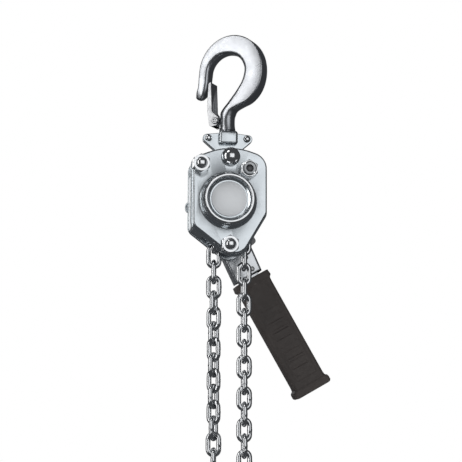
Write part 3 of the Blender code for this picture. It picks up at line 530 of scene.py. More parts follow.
def centre_of(node):
    low, high = span(node)
    return (low.x + high.x) / 2, (low.z + high.z) / 2


HUB = from_sheave(0, 0)
NUTS = {side: centre_of(f"cover_nut_{side}") for side in ("left", "right", "bottom")}
PIN_AT = (TOP_PIN.x, TOP_PIN.z)


def case_outline():
    return [from_sheave(x, z) for x, z in filleted(CASE_CORNERS)]


def side_plates():
    shared = [circle(HUB, 9.5), circle(NUTS["left"], STUD_R + GAP), circle(NUTS["right"], STUD_R + GAP),
              circle(PIN_AT, PIN_R + GAP)]
    stud = circle(NUTS["bottom"], STUD_R + GAP)
    journals = [circle(centre_of(f"cluster_gear_{side}"), 3.0) for side in ("left", "right")]
    edge = inset(case_outline(), 0.6)
    pins = [circle(centre_of(f"pawl_pin_{side}"), 2.3) for side in ("upper", "lower")]
    for node, own in (("gear_side_plate", [stud, *journals]), ("lever_side_plate", pins)):
        low, high = span(node)
        piece(node, plate(edge, [*shared, *own], low.y, high.y, 0.5), ZINC)


def gear_cover():
    """The pressed cover: rim, sloping wall, face, and the dome with its dished front."""
    skin = Skin()
    edge = case_outline()
    holes = [(NUTS[side], STUD_R + GAP) for side in NUTS] + [(PIN_AT, PIN_R + GAP)]
    outside = softened([(1.4, COVER_BACK), (0.0, COVER_BACK), (0.0, COVER_BACK - 1.2),
                        (1.15, COVER_BACK - 1.5), (1.3, COVER_FACE + 2.5)], 0.45)
    bend = 1.4
    outside += [(1.3 + bend * (1 - math.cos(a)), COVER_FACE + bend * (1 - math.sin(a)))
                for a in quarter_turn(6)]
    wall = skin.insets(edge, outside)
    skin.strips(wall)
    base = skin.rounds([(DOME_BASE_R, COVER_FACE)])[0]
    skin.flat([wall[-1], base])
    dome = softened([(DOME_BASE_R, COVER_FACE), (21.4, -21.5), (21.2, -24.0), (20.3, -24.9), (19.6, -30.6),
                     (18.6, DOME_FACE), (17.4, DOME_FACE + 0.1), (16.4, -28.6), (14.8, DISH_FLOOR),
                     (5.0, DISH_FLOOR)], 0.9, 5)
    rings = [base] + skin.rounds(dome[1:])
    skin.strips(rings)
    skin.fan(rings[-1], (HUB[0], DISH_FLOOR, HUB[1]))
    hollow = skin.insets(edge, ((2.4, COVER_BACK), (2.5, -19.0), (2.8, COVER_INSIDE)))
    skin.strip(wall[0], hollow[0])
    skin.strips(hollow)
    well = skin.rounds(((20.2, COVER_INSIDE), (18.9, WELL_END)))
    skin.flat([hollow[-1], well[0]])
    skin.strips(well)
    skin.fan(well[-1], (HUB[0], WELL_END, HUB[1]))
    drills = [turned([(0, -24), (radius, -24), (radius, -9), (0, -9)], 48, place) for place, radius in holes]
    piece("gear_cover", skin, ZINC, cut=drills, sharp=50)
    rim = softened([(20.9, -24.75), (20.5, -25.2), (19.95, -30.6), (18.8, -32.0), (17.3, -32.0),
                    (16.5, -29.4), (16.8, -29.2), (17.5, -31.4), (18.6, -31.7), (19.5, -30.4),
                    (20.2, -25.0)], 0.5, 4)
    extra_piece("dome_rim", turned(rim, 128, HUB), CHROME, "gear_cover", sharp=50)


def name_disc():
    low, high = span("name_disc")
    profile = softened([(0, low.y), (13.7, low.y), (13.7, high.y), (0, high.y)], 0.2)
    piece("name_disc", turned(profile, 96, HUB), DISC)


def threaded(profile, start, end, pitch=1.25, depth=0.45):
    """The profile with thread grooves between two heights along its straight side."""
    radius = max(r for r, y in profile if min(start, end) <= y <= max(start, end))
    count = max(1, int(abs(end - start) / pitch))
    step = (end - start) / count
    grooves = []
    for k in range(count):
        grooves += [(radius, start + step * k), (radius, start + step * (k + 0.12)),
                    (radius - depth, start + step * (k + 0.5)), (radius, start + step * (k + 0.88))]
    return grooves + [(radius, end)]


def fasteners():
    near = COVER_FACE - GAP
    far = near - NUT_HEIGHT
    for side, place in NUTS.items():
        node = "cover_stud_bottom" if side == "bottom" else f"stay_bolt_{side}"
        low, high = span(node)
        tip = low.y
        head = [(0, tip), (STUD_R - 1.7, tip + 0.1), (STUD_R - 0.6, tip + 0.7), (STUD_R, tip + 1.5)]
        if side != "right":
            head += threaded(head + [(STUD_R, tip + 1.5)], tip + 1.5, far + 0.4)
        if side == "bottom":
            body = [(STUD_R, high.y), (0, high.y)]
        else:
            inner, outer = span("gear_side_plate")[1].y + GAP, span("lever_side_plate")[0].y - GAP
            back = span("lever_side_plate")[1].y
            body = [(STUD_R, inner), (4.9, inner), (4.9, outer), (STUD_R, outer), (STUD_R, back + GAP),
                    (5.0, back + GAP), (5.0, high.y - 0.9), (4.0, high.y), (0, high.y)]
        # the right bolt's end gets the dark painted-shade finish
        piece(node, turned(head + body, 48, place), BOLT_END_PAINTED_SHADE if side == "right" else CHROME)
        nut(side, place, near, far)


def nut(side, place, near, far):
    """A plain nut, or the locking one with its collar and nylon ring."""
    half = NUT_FLATS / 2
    slope = math.tan(math.radians(30))
    top = far + (2.0 if side == "right" else 0.0)

    def reach(radius, angle, y):
        if radius < half - 0.5:
            return radius
        cone = half - 0.1 + (y - top) / slope if y < (near + top) / 2 else half + 0.25 + (near - y) / slope
        return min(radius, hexagon(NUT_FLATS, angle), cone)

    levels = [top + d for d in (0, 0.12, 0.24, 0.36, 0.48, 0.6)] + [near - d for d in (0.5, 0.33, 0.16, 0)]
    bore = STUD_R + 0.15
    profile = [(bore + 0.5, near), (bore, near - 0.5), (bore, far + 0.6)]
    if side == "right":
        profile[-1] = (bore, far + 1.9)
        profile += [(4.8, far + 1.9), (4.8, far + 0.5), (4.6, far + 0.15), (4.9, far), (5.25, far + 0.2),
                    (5.5, far + 0.8), (5.5, top)]
        nylon_ring(place, far)
    else:
        profile += [(bore + 0.6, top)]
    profile += [(9.0, y) for y in levels]
    piece(f"cover_nut_{side}", turned(profile, 96, place, reach), CHROME, sharp=28)


def nylon_ring(place, far):
    """The locking nut's insert, which the stud only just reaches."""
    profile = softened([(3.0, far + 1.4), (3.0, far + 0.5), (4.7, far + 0.4), (4.7, far + 1.4)], 0.25)
    extra_piece("nylon_ring", turned(profile, 64, place), NYLON, "cover_nut_right", sharp=50)


def top_pin():
    near = COVER_FACE - GAP
    back = span("lever_side_plate")[1].y + GAP
    height = near - span("top_pin")[0].y
    head = 7.35
    crown = [(head * math.sin(a), near - 0.6 - (height - 0.6) * math.cos(a)) for a in quarter_turn(14)]
    profile = crown + [(head, near), (PIN_R, near), (PIN_R, back), (6.6, back), (6.6, 13.9), (5.6, 14.9),
                       (0, 15.0)]
    piece("top_pin", turned(profile, 64, PIN_AT), CHROME)


def brake_cover():
    low, high = span("brake_cover")
    cup = softened([(22.6, low.y), (24.0, low.y), (24.0, 20.6), (21.2, high.y), (11.6, high.y), (11.6, 21.7),
                    (21.0, 21.7), (22.6, 20.0)], 1.1, 5)
    skin = turned(cup, 96, HUB)
    half = (high.x - low.x) / 2
    for side in (-1, 1):
        ear = filleted([(side * x, z, r) for x, z, r in ((22.9, -5.5, 1), (half, -4.0, 3.9), (half, 4.0, 3.9),
                                                         (22.9, 5.5, 1))])
        hole = circle(from_sheave(side * 26.9, 0), 1.7)
        skin.join(plate([from_sheave(*p) for p in ear], [hole], low.y, 13.2, 0.25))
    piece("brake_cover", skin, ZINC, sharp=45)
    for side, x in (("left", -26.9), ("right", 26.9)):
        node = f"brake_cover_screw_{side}"
        place = from_sheave(x, 0)
        head = turned([(0, 11.8), (1.5, 11.8), (1.5, 13.5), (2.5, 13.55), (2.4, 14.4), (1.7, 15.1),
                       (0, 15.4)], 40, place)
        corners = ((-1, -1), (1, -1), (1, 1), (-1, 1))
        slot = plate([(place[0] + sx * 3, place[1] + sz * 0.35) for sx, sz in corners], [], 14.7, 17, 0.01, 1)
        piece(node, head, CHROME, cut=[slot])


def chain_guard():
    low, high = span("chain_guard")
    edge = filleted(((-27.3, -19.5, 6), (-27.3, 22, 0.6), (-25.8, 22, 0.6), (-25.8, -18.7, 4.5),
                     (-17.2, -25.2, 0.6), (-18.1, -26.5, 0.6)))
    guard = plate([from_sheave(*p) for p in edge], [], low.y, high.y, 0.3)
    piece("chain_guard", guard, ZINC)


# Lever


def on_lever(points):
    """Points given along and across the lever, in X and Z."""
    along = (math.cos(LEVER_ANGLE), math.sin(LEVER_ANGLE))
    across = (-along[1], along[0])
    return [from_sheave(a * along[0] + c * across[0], a * along[1] + c * across[1]) for a, c in points]


def lever_outline():
    head = 19.5
    turns = (math.radians(50 + 260 * k / 72) for k in range(73))
    arc = [(head * math.cos(a), head * math.sin(a)) for a in turns]
    start, end = 32.0, 57.5
    return on_lever([(end, 6.8), (start, 9.2), *arc, (start, -15.4), (end, -17.2)])


def lever():
    low, high = span("lever_front_half")
    back_low, back_high = span("lever_rear_half")
    rim = back_low.y - GAP
    outline = lever_outline()
    holes = [circle(HUB, 11.4, 72)] + [circle(centre_of(f"lever_rivet_{s}"), 2.0) for s in ("upper", "lower")]
    skin = Skin()
    rounding = [(d, low.y + y) for d, y in edge_steps(2.2, 6)]
    outer = skin.insets(outline, rounding + [(0, rim)])
    inner = skin.insets(outline, ((1.6, rim), (1.6, low.y + 2.0), (2.1, low.y + 1.6)))
    skin.strips(outer + inner)
    mouths = [skin.ring(at_y(hole, low.y)) for hole in holes]
    backs = [skin.ring(at_y(hole, low.y + 1.6)) for hole in holes]
    skin.flat([outer[0], *mouths])
    skin.flat([inner[-1], *backs])
    for mouth, back in zip(mouths, backs):
        skin.strip(mouth, back)
    low_side, high_side = GRIP["across"] - 7.4, GRIP["across"] + 7.4
    tongue = on_lever([(56.2, low_side), (150, low_side), (150, high_side), (56.2, high_side)])
    skin.join(plate(tongue, [], 25.6, 34.4, 0.5))
    piece("lever_front_half", skin, ZINC_LEVER, sharp=45, name="lever_front_skin")
    selector_hole = circle(on_lever([(LEVER_AXIS.length, 0)])[0], 2.6)
    back = plate(outline, [circle(HUB, 9.0, 72), *holes[1:], selector_hole], back_low.y, back_high.y, 0.4)
    piece("lever_rear_half", back, ZINC_LEVER, name="lever_rear_skin")
    for side in ("upper", "lower"):
        node = f"lever_rivet_{side}"
        low, high = span(node)
        profile = softened([(0, low.y), (2.2, low.y + 0.3), (1.75, low.y + 0.5), (1.75, high.y - 1.5),
                            (3.2, high.y - 1.5), (3.1, high.y - 1.0), (2.2, high.y - 0.3), (0, high.y)], 0.3)
        piece(node, turned(profile, 40, centre_of(node)), STEEL)


GRIP = {"start": 59.0, "end": 161.0, "width": 13.7, "depth": 7.8, "across": -4.2, "corner": 2.4}
RIB_SPACING, RIB_COUNT, RIB_HALF_LENGTH, RIB_HALF_WIDTH = 6.4, 10, 7.0, 1.1
PANEL_HALF, PANEL_DEPTH, RIB_RISE = 9.4, 0.5, 0.9


def step_up(distance, soft=0.35):
    """A smooth step from 0 to 1 as a distance passes through zero."""
    t = min(1.0, max(0.0, distance / soft / 2 + 0.5))
    return t * t * (3 - 2 * t)


def grip_relief(along, across):
    """How far the face of the grip stands proud: a sunk panel with ribs across it."""
    first = GRIP["end"] - 17 - RIB_SPACING * (RIB_COUNT - 1)
    panel_start, panel_end = first - 22, GRIP["end"] - 12.5
    nose = math.sqrt(max(0.0, 1 - max(0.0, (panel_start + PANEL_HALF - along) / PANEL_HALF) ** 2))
    inside = min(along - panel_start, panel_end - along, PANEL_HALF * nose - abs(across))
    height = -PANEL_DEPTH * step_up(inside, 0.6)
    for k in range(RIB_COUNT):
        gap = abs(along - first - RIB_SPACING * k)
        if gap < RIB_HALF_WIDTH + 1:
            height += RIB_RISE * step_up(min(RIB_HALF_WIDTH - gap, RIB_HALF_LENGTH - abs(across)))
    return height


def grip_section(half_width, half_depth, corner):
    """Points round a rounded rectangle, close together along its front and back faces."""
    flat_w, flat_d = half_width - corner, half_depth - corner
    across = [flat_w * (k / 13 - 1) for k in range(27)]
    side = [flat_d * t for t in (-1, -0.33, 0.33, 1)]

    def bend(sw, sd, start):
        return [(sw * flat_w + corner * math.cos(a), sd * flat_d + corner * math.sin(a)) for a in
                (math.pi / 2 * (start + k / 5) for k in range(1, 5))]

    front = [(c, -half_depth) for c in across]
    right = [(half_width, t) for t in side]
    back = [(-c, half_depth) for c in across]
    left = [(-half_width, -t) for t in side]
    return [*front, *bend(1, -1, 3), *right, *bend(1, 1, 0), *back, *bend(-1, 1, 1), *left, *bend(-1, -1, 2)]


def grip_middle():
    """The grip's middle depth, a little in front of the lever's."""
    return (span("lever_front_half")[0].y + span("lever_rear_half")[1].y) / 2 - 0.6


def grip_ring(along, extra):
    """One ring of the grip, with its relief on the two faces."""
    middle = grip_middle()
    half_depth = GRIP["depth"] + extra * 0.5
    section = grip_section(GRIP["width"] + extra, half_depth, GRIP["corner"])
    ring = []
    for across, depth in section:
        if abs(abs(depth) - half_depth) < 1e-6:
            depth += math.copysign(grip_relief(along, across), depth)
        x, z = on_lever([(along, GRIP["across"] + across)])[0]
        ring.append((x, middle + depth, z))
    return ring


def lever_grip():
    """The moulded grip: flared collar, slim waist, ribbed panel and a thick end flange."""
    s, e = GRIP["start"], GRIP["end"]
    path = softened([(s, 0.6), (s + 0.1, 1.3), (s + 4.6, 1.8), (s + 6.4, 0.2), (s + 9, 0.0), (e - 9.5, 0.0),
                     (e - 7.0, 0.3), (e - 5.8, 1.8), (e - 4.2, 2.3), (e - 1.4, 2.3), (e - 0.2, 1.3),
                     (e, 0.2)], 0.9, 4)
    body = [(s + 9 + 0.45 * k, 0.0) for k in range(1, int((e - 9.5 - s - 9) / 0.45))]
    stations = sorted(path + body)
    skin = Skin()
    rings = [skin.ring(grip_ring(along, extra)) for along, extra in stations]
    skin.strips(rings)
    skin.cap(rings[-1])
    socket = []
    for along in (s, s + 20):
        ring = []
        for across, depth in grip_section(8.0, 4.7, 0.6):
            x, z = on_lever([(along, GRIP["across"] + across)])[0]
            ring.append((x, grip_middle() + depth, z))
        socket.append(skin.ring(ring))
    skin.strip(rings[0], socket[0])
    skin.strip(socket[0], socket[1])
    skin.cap(socket[1])
    piece("lever_grip", skin, RUBBER, sharp=60)


def selector():
    low, high = span("selector_knob")
    corners = ((26.5, -3.0, 2.0), (34.5, -3.0, 2.0), (36.5, 5.0, 2.0), (34.5, 17.8, 2.4), (27.5, 17.8, 2.4),
               (25.5, 5.0, 2.0))
    outline = filleted([(c, a, r) for a, c, r in corners], 0.5)
    flat = on_lever([(a, c) for c, a in outline])
    face = span("lever_rear_half")[1].y + 0.8
    skin = plate(flat, [], face, high.y, 0.9, 4)
    pin = turned([(0, low.y), (1.5, low.y), (1.5, face + 1), (0, face + 1)], 32,
                 on_lever([(LEVER_AXIS.length, 0)])[0])
    piece("selector_knob", skin.join(pin), POLYMER, sharp=50)


def hand_wheel():
    low, high = span("hand_wheel")

    def reach(radius, angle, y):
        if radius < 8:
            return radius
        scallop = max(0.0, math.cos(8 * angle)) ** 1.4
        return min(radius, 17.0 - 2.1 * scallop)

    profile = softened([(3.7, low.y), (15.6, low.y), (17.0, low.y + 1.2), (17.0, high.y - 1.8),
                        (15.0, high.y), (8.4, high.y), (7.6, high.y - 1.2), (3.7, high.y - 1.2)], 0.8, 4)
    piece("hand_wheel", turned(profile, 160, HUB, reach), ZINC, sharp=45)
    low, high = span("end_nut")

    def nut_reach(radius, angle, y):
        return radius if radius < 4.4 else min(radius, hexagon(10.0, angle), 4.95 + (high.y - y) * 1.7)

    profile = [(3.9, low.y)] + [(9, low.y + t) for t in (0, 2.8, 3.2, 3.5, 3.8, 4.0)]
    profile += [(4.2, high.y), (3.7, high.y - 0.5)]
    piece("end_nut", turned(profile, 96, HUB, nut_reach), CHROME, sharp=28)


# Yoke


def yoke():
    """Two pressed halves with ears, which meet round the hook's button."""
    left = ((-7.2, -95.0, 6.5), (-10.6, -79.0, 3), (-19.7, -71.0, 3), (-19.7, -66.4, 3), (-7.0, -65.0, 2))
    ears = filleted((*left[2:], *((-x, z, r) for x, z, r in reversed(left)), *left[:2]))
    holes = [circle(PIN_AT, PIN_R + GAP)] + [circle((x, YOKE_RIVET_Z), 2.0) for x in YOKE_RIVETS.values()]
    cavity = block((-6.3, 6.3), (-6.3, 6.3), (-73.4, -66.0))
    throat = upright(((4.9, -68.0), (4.9, -60.0)))
    box = filleted(((-7.5, -74.8, 2.2), (7.5, -74.8, 2.2), (7.5, -63.8, 2.2), (-7.5, -63.8, 2.2)))
    levels = ((0.0, 0.15), (0.0, 6.2), (0.35, 7.1), (1.0, 7.7), (2.0, 8.0))
    for name, side in (("front", -1), ("rear", 1)):
        near, far = sorted((side * 0.15, side * 3.0))
        skin = plate(ears, holes, near, far, 0.5)
        emboss = Skin()
        rings = emboss.insets(box, [(d, side * y) for d, y in levels])
        emboss.strips(rings)
        emboss.cap(rings[0])
        emboss.cap(rings[-1])
        piece(f"yoke_{name}_half", welded(skin, emboss), ZINC, cut=[cavity, throat], sharp=40)
    dome = [(2.8 * math.sin(a), -3.3 - 1.6 * math.cos(a)) for a in quarter_turn(6)]
    profile = dome + [(1.7, -3.3), (1.7, 3.3)] + [(r, -y) for r, y in reversed(dome)]
    for side, x in YOKE_RIVETS.items():
        node = f"yoke_rivet_{side}"
        piece(node, turned(profile, 48, (x, YOKE_RIVET_Z)), CHROME)


def welded(first, second):
    """One skin round two solids that overlap."""
    base = linked("base", mesh_from("base", first))
    carved(base, [second], "UNION")
    whole = Skin()
    whole.points = [v.co / MM for v in base.data.vertices]
    whole.faces = [tuple(p.vertices) for p in base.data.polygons]
    bpy.data.objects.remove(base, do_unlink=True)
    return whole


# Hooks


def catmull(values, count):
    """Values along a smooth curve through evenly numbered stations."""
    out = []
    last = len(values) - 1
    for k in range(count):
        at = last * k / (count - 1)
        i = min(int(at), last - 1)
        t = at - i
        p = [values[max(0, min(last, i + d))] for d in (-1, 0, 1, 2)]
        out.append(0.5 * (2 * p[1] + (p[2] - p[0]) * t + (2 * p[0] - 5 * p[1] + 4 * p[2] - p[3]) * t * t
                          + (3 * p[1] - p[0] - 3 * p[2] + p[3]) * t**3))
    return out


def hook_spans():
    """Stations along the hook: inner point, outer point, depth, and the corner radii on its two sides."""
    spans = [((-21.5, -34.5), (-27.5, -32.5), 5.5, 2.4, 2.0), ((-17.8, -31.0), (-26.2, -28.5), 8.5, 3.4, 1.6),
             ((-15.6, -24.5), (-24.4, -24.0), 9.6, 3.2, 1.3)]
    for k in range(10):
        angle = math.pi * (1 - k / 9)
        inner = (1 + 15.6 * math.cos(angle), -15.6 + 15.6 * math.sin(angle))
        outer = (4.9 + 28.3 * math.cos(angle), -15.5 + 30.2 * math.sin(angle))
        spans.append((inner, outer, HOOK_DEPTH, 3.0, 1.2))
    back = (((14.6, -23.5), (31.8, -26.0)), ((9.6, -31.0), (27.8, -34.8)), ((5.0, -36.4), (21.2, -41.2)),
            ((1.0, -40.8), (13.2, -44.4)), ((-2.6, -44.6), (8.2, -47.0)), ((-5.2, -48.6), (6.4, -50.6)))
    for k, (inner, outer) in enumerate(back):
        spans.append((inner, outer, HOOK_DEPTH + 0.2 * k, 3.0 + 0.35 * k, 1.2 + 0.7 * k))
    return spans + [((-r, z), (r, z), 2 * SHANK_R, 5.9, 5.9) for r, z in
                    ((SHANK_R, -53.5), (SHANK_R, -58.5), (SHANK_R + 0.6, -62.6))]


def hook_section(inner, outer, depth, inside, outside, steps=6):
    """A section across the hook, soft on its inner side and crisp on its outer side."""
    middle, across = (inner + outer) / 2, (outer - inner) / 2
    width = across.length * 2
    ring = []
    for su, sd, start in ((1, 1, 0), (-1, 1, 1), (-1, -1, 2), (1, -1, 3)):
        corner = min(outside if su > 0 else inside, 0.495 * width, 0.495 * depth)
        for k in range(steps + 1):
            a = math.pi / 2 * (start + k / steps)
            u = su * (width / 2 - corner) + corner * math.cos(a)
            d = sd * (depth / 2 - corner) + corner * math.sin(a)
            ring.append((middle + across * (2 * u / width), d))
    return ring


def hook_rings():
    spans = hook_spans()
    columns = [catmull([Vector(s[c]) if c < 2 else s[c] for s in spans], 110) for c in range(5)]
    rings = [hook_section(*row) for row in zip(*columns)]
    inner, outer = columns[0][0], columns[1][0]
    beyond = Vector((-0.5, -0.8))
    tip = hook_section(inner.lerp(outer, 0.25) + beyond, outer.lerp(inner, 0.25) + beyond, 3.0, 1.4, 1.4)
    return [tip, *rings]


def hook(name, turn, seat, flip, x, latch_at):
    """A forged hook, its latch and the latch's rivet. latch_at is the pivot in the hook's own plane."""

    def put(u, depth, z):
        px = u * math.cos(turn) - depth * math.sin(turn) + x
        return px, u * math.sin(turn) + depth * math.cos(turn), seat + flip * z

    def slab(points, low, high):
        return Skin().loft([[put(u, d, z) for u, z in points] for d in (low, high)])

    def across(radius_depth):
        return Skin().loft([[put(u, d, z) for u, z in circle(latch_at, r, 40)] for r, d in radius_depth])

    body = Skin().loft([[put(p.x, d, p.y) for p, d in ring] for ring in hook_rings()])
    button = ((4.6, -61.5), (4.6, -68.4), (5.5, -68.4), (5.9, -68.9), (5.9, -72.1), (5.4, -72.6))
    stem = Skin().loft([[put(*point, z) for point in circle((0, 0), r)] for r, z in button])
    lug = across([(3.2, -2.9), (3.5, -2.6), (3.5, 2.6), (3.2, 2.9)])
    web = slab(((-8, -57.5), (-3, -59.4), (-3, -48.6), (-8, -51)), -2.9, 2.9)
    pocket = ((-30, -60.6), (-3.9, -60.6), (-3.9, -46.5), (-30, -46.5))
    drill = across([(2.0, -7), (2.0, 7)])
    piece(f"{name}_hook", body, FORGED,
          cut=[slab(pocket, -9, -3.0), slab(pocket, 3.0, 9)], bevel=0.35, sharp=40)
    extra_piece(f"{name}_hook_stem", Skin().join(stem).join(lug).join(web), FORGED, f"{name}_hook",
                cut=[drill], sharp=40)
    outline = filleted(((-13.4, -57.6, 0.8), (-11.6, -58.9, 1.2), (-7.0, -58.2, 1.4), (-4.9, -55.6, 1.2),
                        (-5.4, -51.8, 1.6), (-11.0, -46.5, 3.0), (-11.8, -22.5, 0.4), (-12.6, -22.0, 0.4),
                        (-14.1, -23.2, 0.8), (-15.2, -40.0, 12), (-14.9, -48.0, 12)))
    inner = ((-12.2, -60.0), (0.0, -60.0), (0.0, -20.5), (-11.4, -20.5), (-13.7, -40.0), (-13.5, -48.0))
    piece(f"{name}_latch", slab(outline, -5.6, 5.6), LATCH,
          cut=[slab(inner, -4.2, 4.2), drill], bevel=0.3, sharp=40)
    side = [(2.8, 5.9), (2.8, 6.1), (2.2, 6.7), (1.5, 6.7), (0.9, 6.2)]
    rivet = across([(r, -d) for r, d in reversed(side)] + [(1.7, -5.9), (1.7, 5.9)] + side)
    piece(f"{name}_latch_rivet", rivet, LATCH)


def hooks():
    pivot = joint_place("top_latch_hinge")
    turn = math.atan2(-pivot.y, -pivot.x)
    flat = -math.hypot(pivot.x, pivot.y)
    hook("top", turn, 0.0, 1, 0.0, (flat, pivot.z))
    seat = joint_place("load_hook_swivel").z
    low_pivot = joint_place("load_latch_hinge")
    low_turn = math.atan2(-low_pivot.y, LOAD_PIN.x - low_pivot.x)
    hook("load", low_turn, seat, -1, LOAD_PIN.x, (flat, pivot.z))


def load_block():
    """The fork that holds the chain's end link and the load hook's button."""
    low, high = span("load_block")
    x, face = LOAD_PIN.x, low.z
    outline = filleted(((-8, 0, 1.8), (8, 0, 1.8), (8, 25.2, 6), (-8, 25.2, 6)))
    outline = [(px + x, pz + face) for px, pz in outline]
    body = plate(outline, [], low.y, high.y, 1.2, 4)
    slot = block((x - 12, x + 12), (-2.8, 2.8), (face + 10.2, face + 40))
    hole = turned([(0, -12), (2.8, -12), (2.8, 12), (0, 12)], 48, (x, LOAD_PIN.z))
    seat = upright(((6.3, face + 4.6), (6.3, face + 10.8)), x)
    throat = upright(((4.9, face - 2), (4.9, face + 6)), x)
    cuts = [slot, hole, seat, throat]
    piece("load_block", body, FORGED, cut=cuts, bevel=0.3, sharp=40)
    half = [(0, -9.0), (3.6, -9.0), (4.2, -8.6), (4.2, -7.9), (2.5, -7.9)]
    pin = half + [(r, -y) for r, y in reversed(half)]
    piece("load_chain_pin", turned(pin, 48, (x, LOAD_PIN.z)), CHROME)


# Chain


def link(start, end, standing, share=1.0, twist=0.0):
    """One welded link: a bent wire with the flash of its weld on one side.

    It is turned by twist about its own length.
    """
    a, b = Vector((start[0], 0, start[1])), Vector((end[0], 0, end[1]))
    along = (b - a).normalized()
    side = Vector((along.z, 0, -along.x)) if standing else Vector((0, 1, 0))
    side = Matrix.Rotation(twist, 3, along) @ side
    out = along.cross(side)
    middle = (a + b) / 2
    straight = PITCH / 2 + WIRE_R - LINK_HALF_WIDTH
    path = []
    for end_sign in (1, -1):
        for k in range(13):
            angle = math.pi / 2 * (1 - k / 6)
            radial = along * end_sign * math.cos(angle) + side * end_sign * math.sin(angle)
            path.append((middle + along * end_sign * straight + radial * LINK_HALF_WIDTH, radial, 1.0))
        radial = -side * end_sign
        for t in (0.42, 0.22, 0.08, -0.08, -0.22, -0.42):
            flash = 1.07 if end_sign > 0 and abs(t) < 0.1 else 1.0
            reach = along * end_sign * straight * 2 * t
            path.append((middle + reach + radial * LINK_HALF_WIDTH, radial, flash))
    rings = []
    for centre, radial, swell in path:
        wire = WIRE_R * share * swell
        rings.append([centre + (radial * math.cos(t) + out * math.sin(t)) * wire
                      for t in full_turn(14)])
    return Skin().loft(rings, closed=True)


def chain_points():
    """Where links meet, from the sheave's axis: down the loaded fall, over the sheave, down the free fall."""
    load = [(CONTACT_R, -PITCH * k) for k in range(LOAD_POINTS)]
    turns = [k * math.pi / 4 for k in range(WRAP_POINTS)]
    wrap = [(CONTACT_R * math.cos(a), CONTACT_R * math.sin(a)) for a in turns]
    tail_x = TAIL_WIRE.x - SHEAVE.x
    drop = math.sqrt(PITCH**2 - (tail_x - wrap[-1][0]) ** 2)
    tail = [wrap[-1]] + [(tail_x, wrap[-1][1] - drop - PITCH * k) for k in range(TAIL_POINTS)]
    return load, wrap, tail


def chain(node, points, first_standing, share=1.0, twist=0.0):
    """A run of links, which can wind up to twist in the middle and back at both ends."""
    skin = Skin()
    last = len(points) - 2
    places = [from_sheave(*p) for p in points]
    for k, (a, b) in enumerate(zip(places, places[1:])):
        wound = min(1, k / TWIST_START, (last - k) / TWIST_END)
        skin.join(link(a, b, first_standing == (k % 2 == 0), share, twist * wound))
    piece(node, skin, CHAIN, sharp=70, name=f"{node}_links")


def chains():
    load, wrap, tail = chain_points()
    chain("chain_on_sheave", load[2:0:-1] + wrap + tail[1:3], False)
    chain("load_chain_upper", load[2:10], True)
    chain("load_chain_lower", load[9:], False, MOVING_SHARE)
    chain("tail_chain", tail[2:], True, twist=TAIL_TWIST)


def tail_ring():
    low, high = span("tail_ring")
    wire = (high.x - low.x) / 2
    radius = (high.z - low.z) / 2 - wire
    middle = (low + high) / 2
    rings = []
    for a in full_turn(72):
        radial = Vector((0, math.sin(a), math.cos(a)))
        rings.append([middle + radial * (radius + wire * math.cos(t)) + Vector((wire * math.sin(t), 0, 0))
                      for t in full_turn(18)])
    piece("tail_ring", Skin().loft(rings, closed=True), CHAIN, sharp=70)


# Pieces whose CAD shape stays


def keep_cad_nodes():
    """The hidden works keep their CAD shape and get their own finishes."""
    finishes = {"machined_steel": STEEL, "bush_bronze": BRONZE, "brake_lining": LINING, "zinc_plate": ZINC,
                "bright_chrome": CHROME, "forged_steel": FORGED, "latch_steel": LATCH, "zinc_chain": CHAIN,
                "grip_rubber": RUBBER, "selector_polymer": POLYMER}
    for node, obj in frame["nodes"].items():
        obj.data.materials.clear()
        obj.data.materials.append(finishes[SLOT_OF[node]])


# Stage, in metres

FLOOR_HALF, FLOOR_HEIGHT = 3.0, -0.56
LIGHTS_AIM = Vector((0, 0, -0.14))


def stage():
    """A plain pale floor below the load hook."""
    mesh = bpy.data.meshes.new("floor")
    corners = ((-1, -1), (1, -1), (1, 1), (-1, 1))
    mesh.from_pydata([(x * FLOOR_HALF, y * FLOOR_HALF, FLOOR_HEIGHT) for x, y in corners], [], [(0, 1, 2, 3)])
    floor = linked("floor", mesh)
    paper = Nodes("studio_paper", 0.0, 0.9, (0.93, 0.93, 0.93))
    paper.surface.inputs["Emission Color"].default_value = (1, 1, 1, 1)
    paper.surface.inputs["Emission Strength"].default_value = 0.45
    mesh.materials.append(paper.done(paper.mixed(paper.noise(3), (0.92, 0.92, 0.92), (0.95, 0.95, 0.95))))
    floor.visible_glossy = False


def area_light(name, place, size, glow, colour=(1, 1, 1)):
    """A soft panel aimed at the hoist, as bright all over as glow says."""
    light = bpy.data.lights.new(name, "AREA")
    light.shape, light.size, light.size_y = "RECTANGLE", size[0], size[1]
    light.energy, light.color = glow * math.pi * size[0] * size[1], colour
    obj = linked(name, light)
    obj.location = place
    obj.rotation_euler = (LIGHTS_AIM - Vector(place)).to_track_quat("-Z", "Y").to_euler()
    return obj


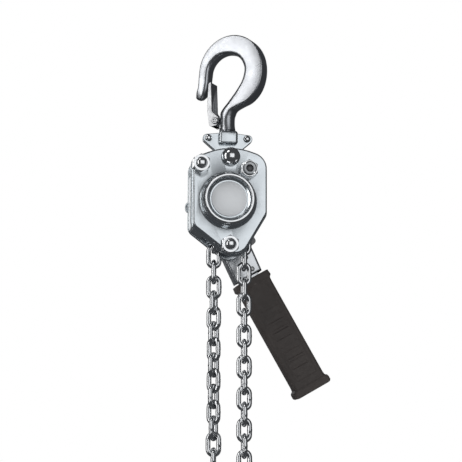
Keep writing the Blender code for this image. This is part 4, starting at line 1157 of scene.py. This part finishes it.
def lights():
    """Panels in front and behind, a strip on each side, one lamp above, and dim air in the metal's mirror.

    The camera sees the air as white.
    """
    area_light("front_panel", (0.36, -1.94, 0.22), (1.5, 1.3), 0.95, (0.97, 0.985, 1.0))
    area_light("left_strip", (-1.5, -0.75, 0.1), (0.4, 1.6), 3.2)
    area_light("top_left", (-0.7, -0.9, 1.3), (0.5, 0.5), 3.0)
    area_light("right_fill", (1.7, -0.3, 0.0), (0.5, 1.4), 0.55).visible_glossy = False
    area_light("back_panel", (-0.6, 1.9, 0.5), (1.4, 1.3), 0.9)
    world = bpy.data.worlds.new("studio_air")
    bpy.context.scene.world = world
    world.use_nodes = True
    tree = world.node_tree
    ray = tree.nodes.new("ShaderNodeLightPath")
    shade = tree.nodes.new("ShaderNodeMix")
    shade.data_type = "RGBA"
    shade.inputs[6].default_value = (0.055, 0.058, 0.062, 1)
    shade.inputs[7].default_value = (1, 1, 1, 1)
    tree.links.new(ray.outputs["Is Camera Ray"], shade.inputs[0])
    tree.links.new(shade.outputs[2], tree.nodes["Background"].inputs["Color"])
    bpy.context.scene.view_settings.view_transform = "Standard"


CAMERA_AZIMUTH, CAMERA_ELEVATION = math.radians(-8.5), math.radians(-10)
CAMERA_DISTANCE = 1.0
CAMERA_TARGET = Vector((0.003, 0.0, -0.143))
FIELD_OF_VIEW = math.radians(20.5)


def camera():
    data = bpy.data.cameras.new("camera")
    data.angle = FIELD_OF_VIEW
    obj = linked("camera", data)
    a, e = CAMERA_AZIMUTH, CAMERA_ELEVATION
    away = Vector((math.sin(a) * math.cos(e), -math.cos(a) * math.cos(e), math.sin(e)))
    obj.location = CAMERA_TARGET + away * CAMERA_DISTANCE
    obj.rotation_euler = (-away).to_track_quat("-Z", "Y").to_euler()
    bpy.context.scene.camera = obj


camera()
stage()
lights()
keep_cad_nodes()
side_plates()
gear_cover()
name_disc()
fasteners()
top_pin()
brake_cover()
chain_guard()
lever()
lever_grip()
selector()
hand_wheel()
yoke()
hooks()
load_block()
chains()
tail_ring()
bpy.context.view_layer.update()
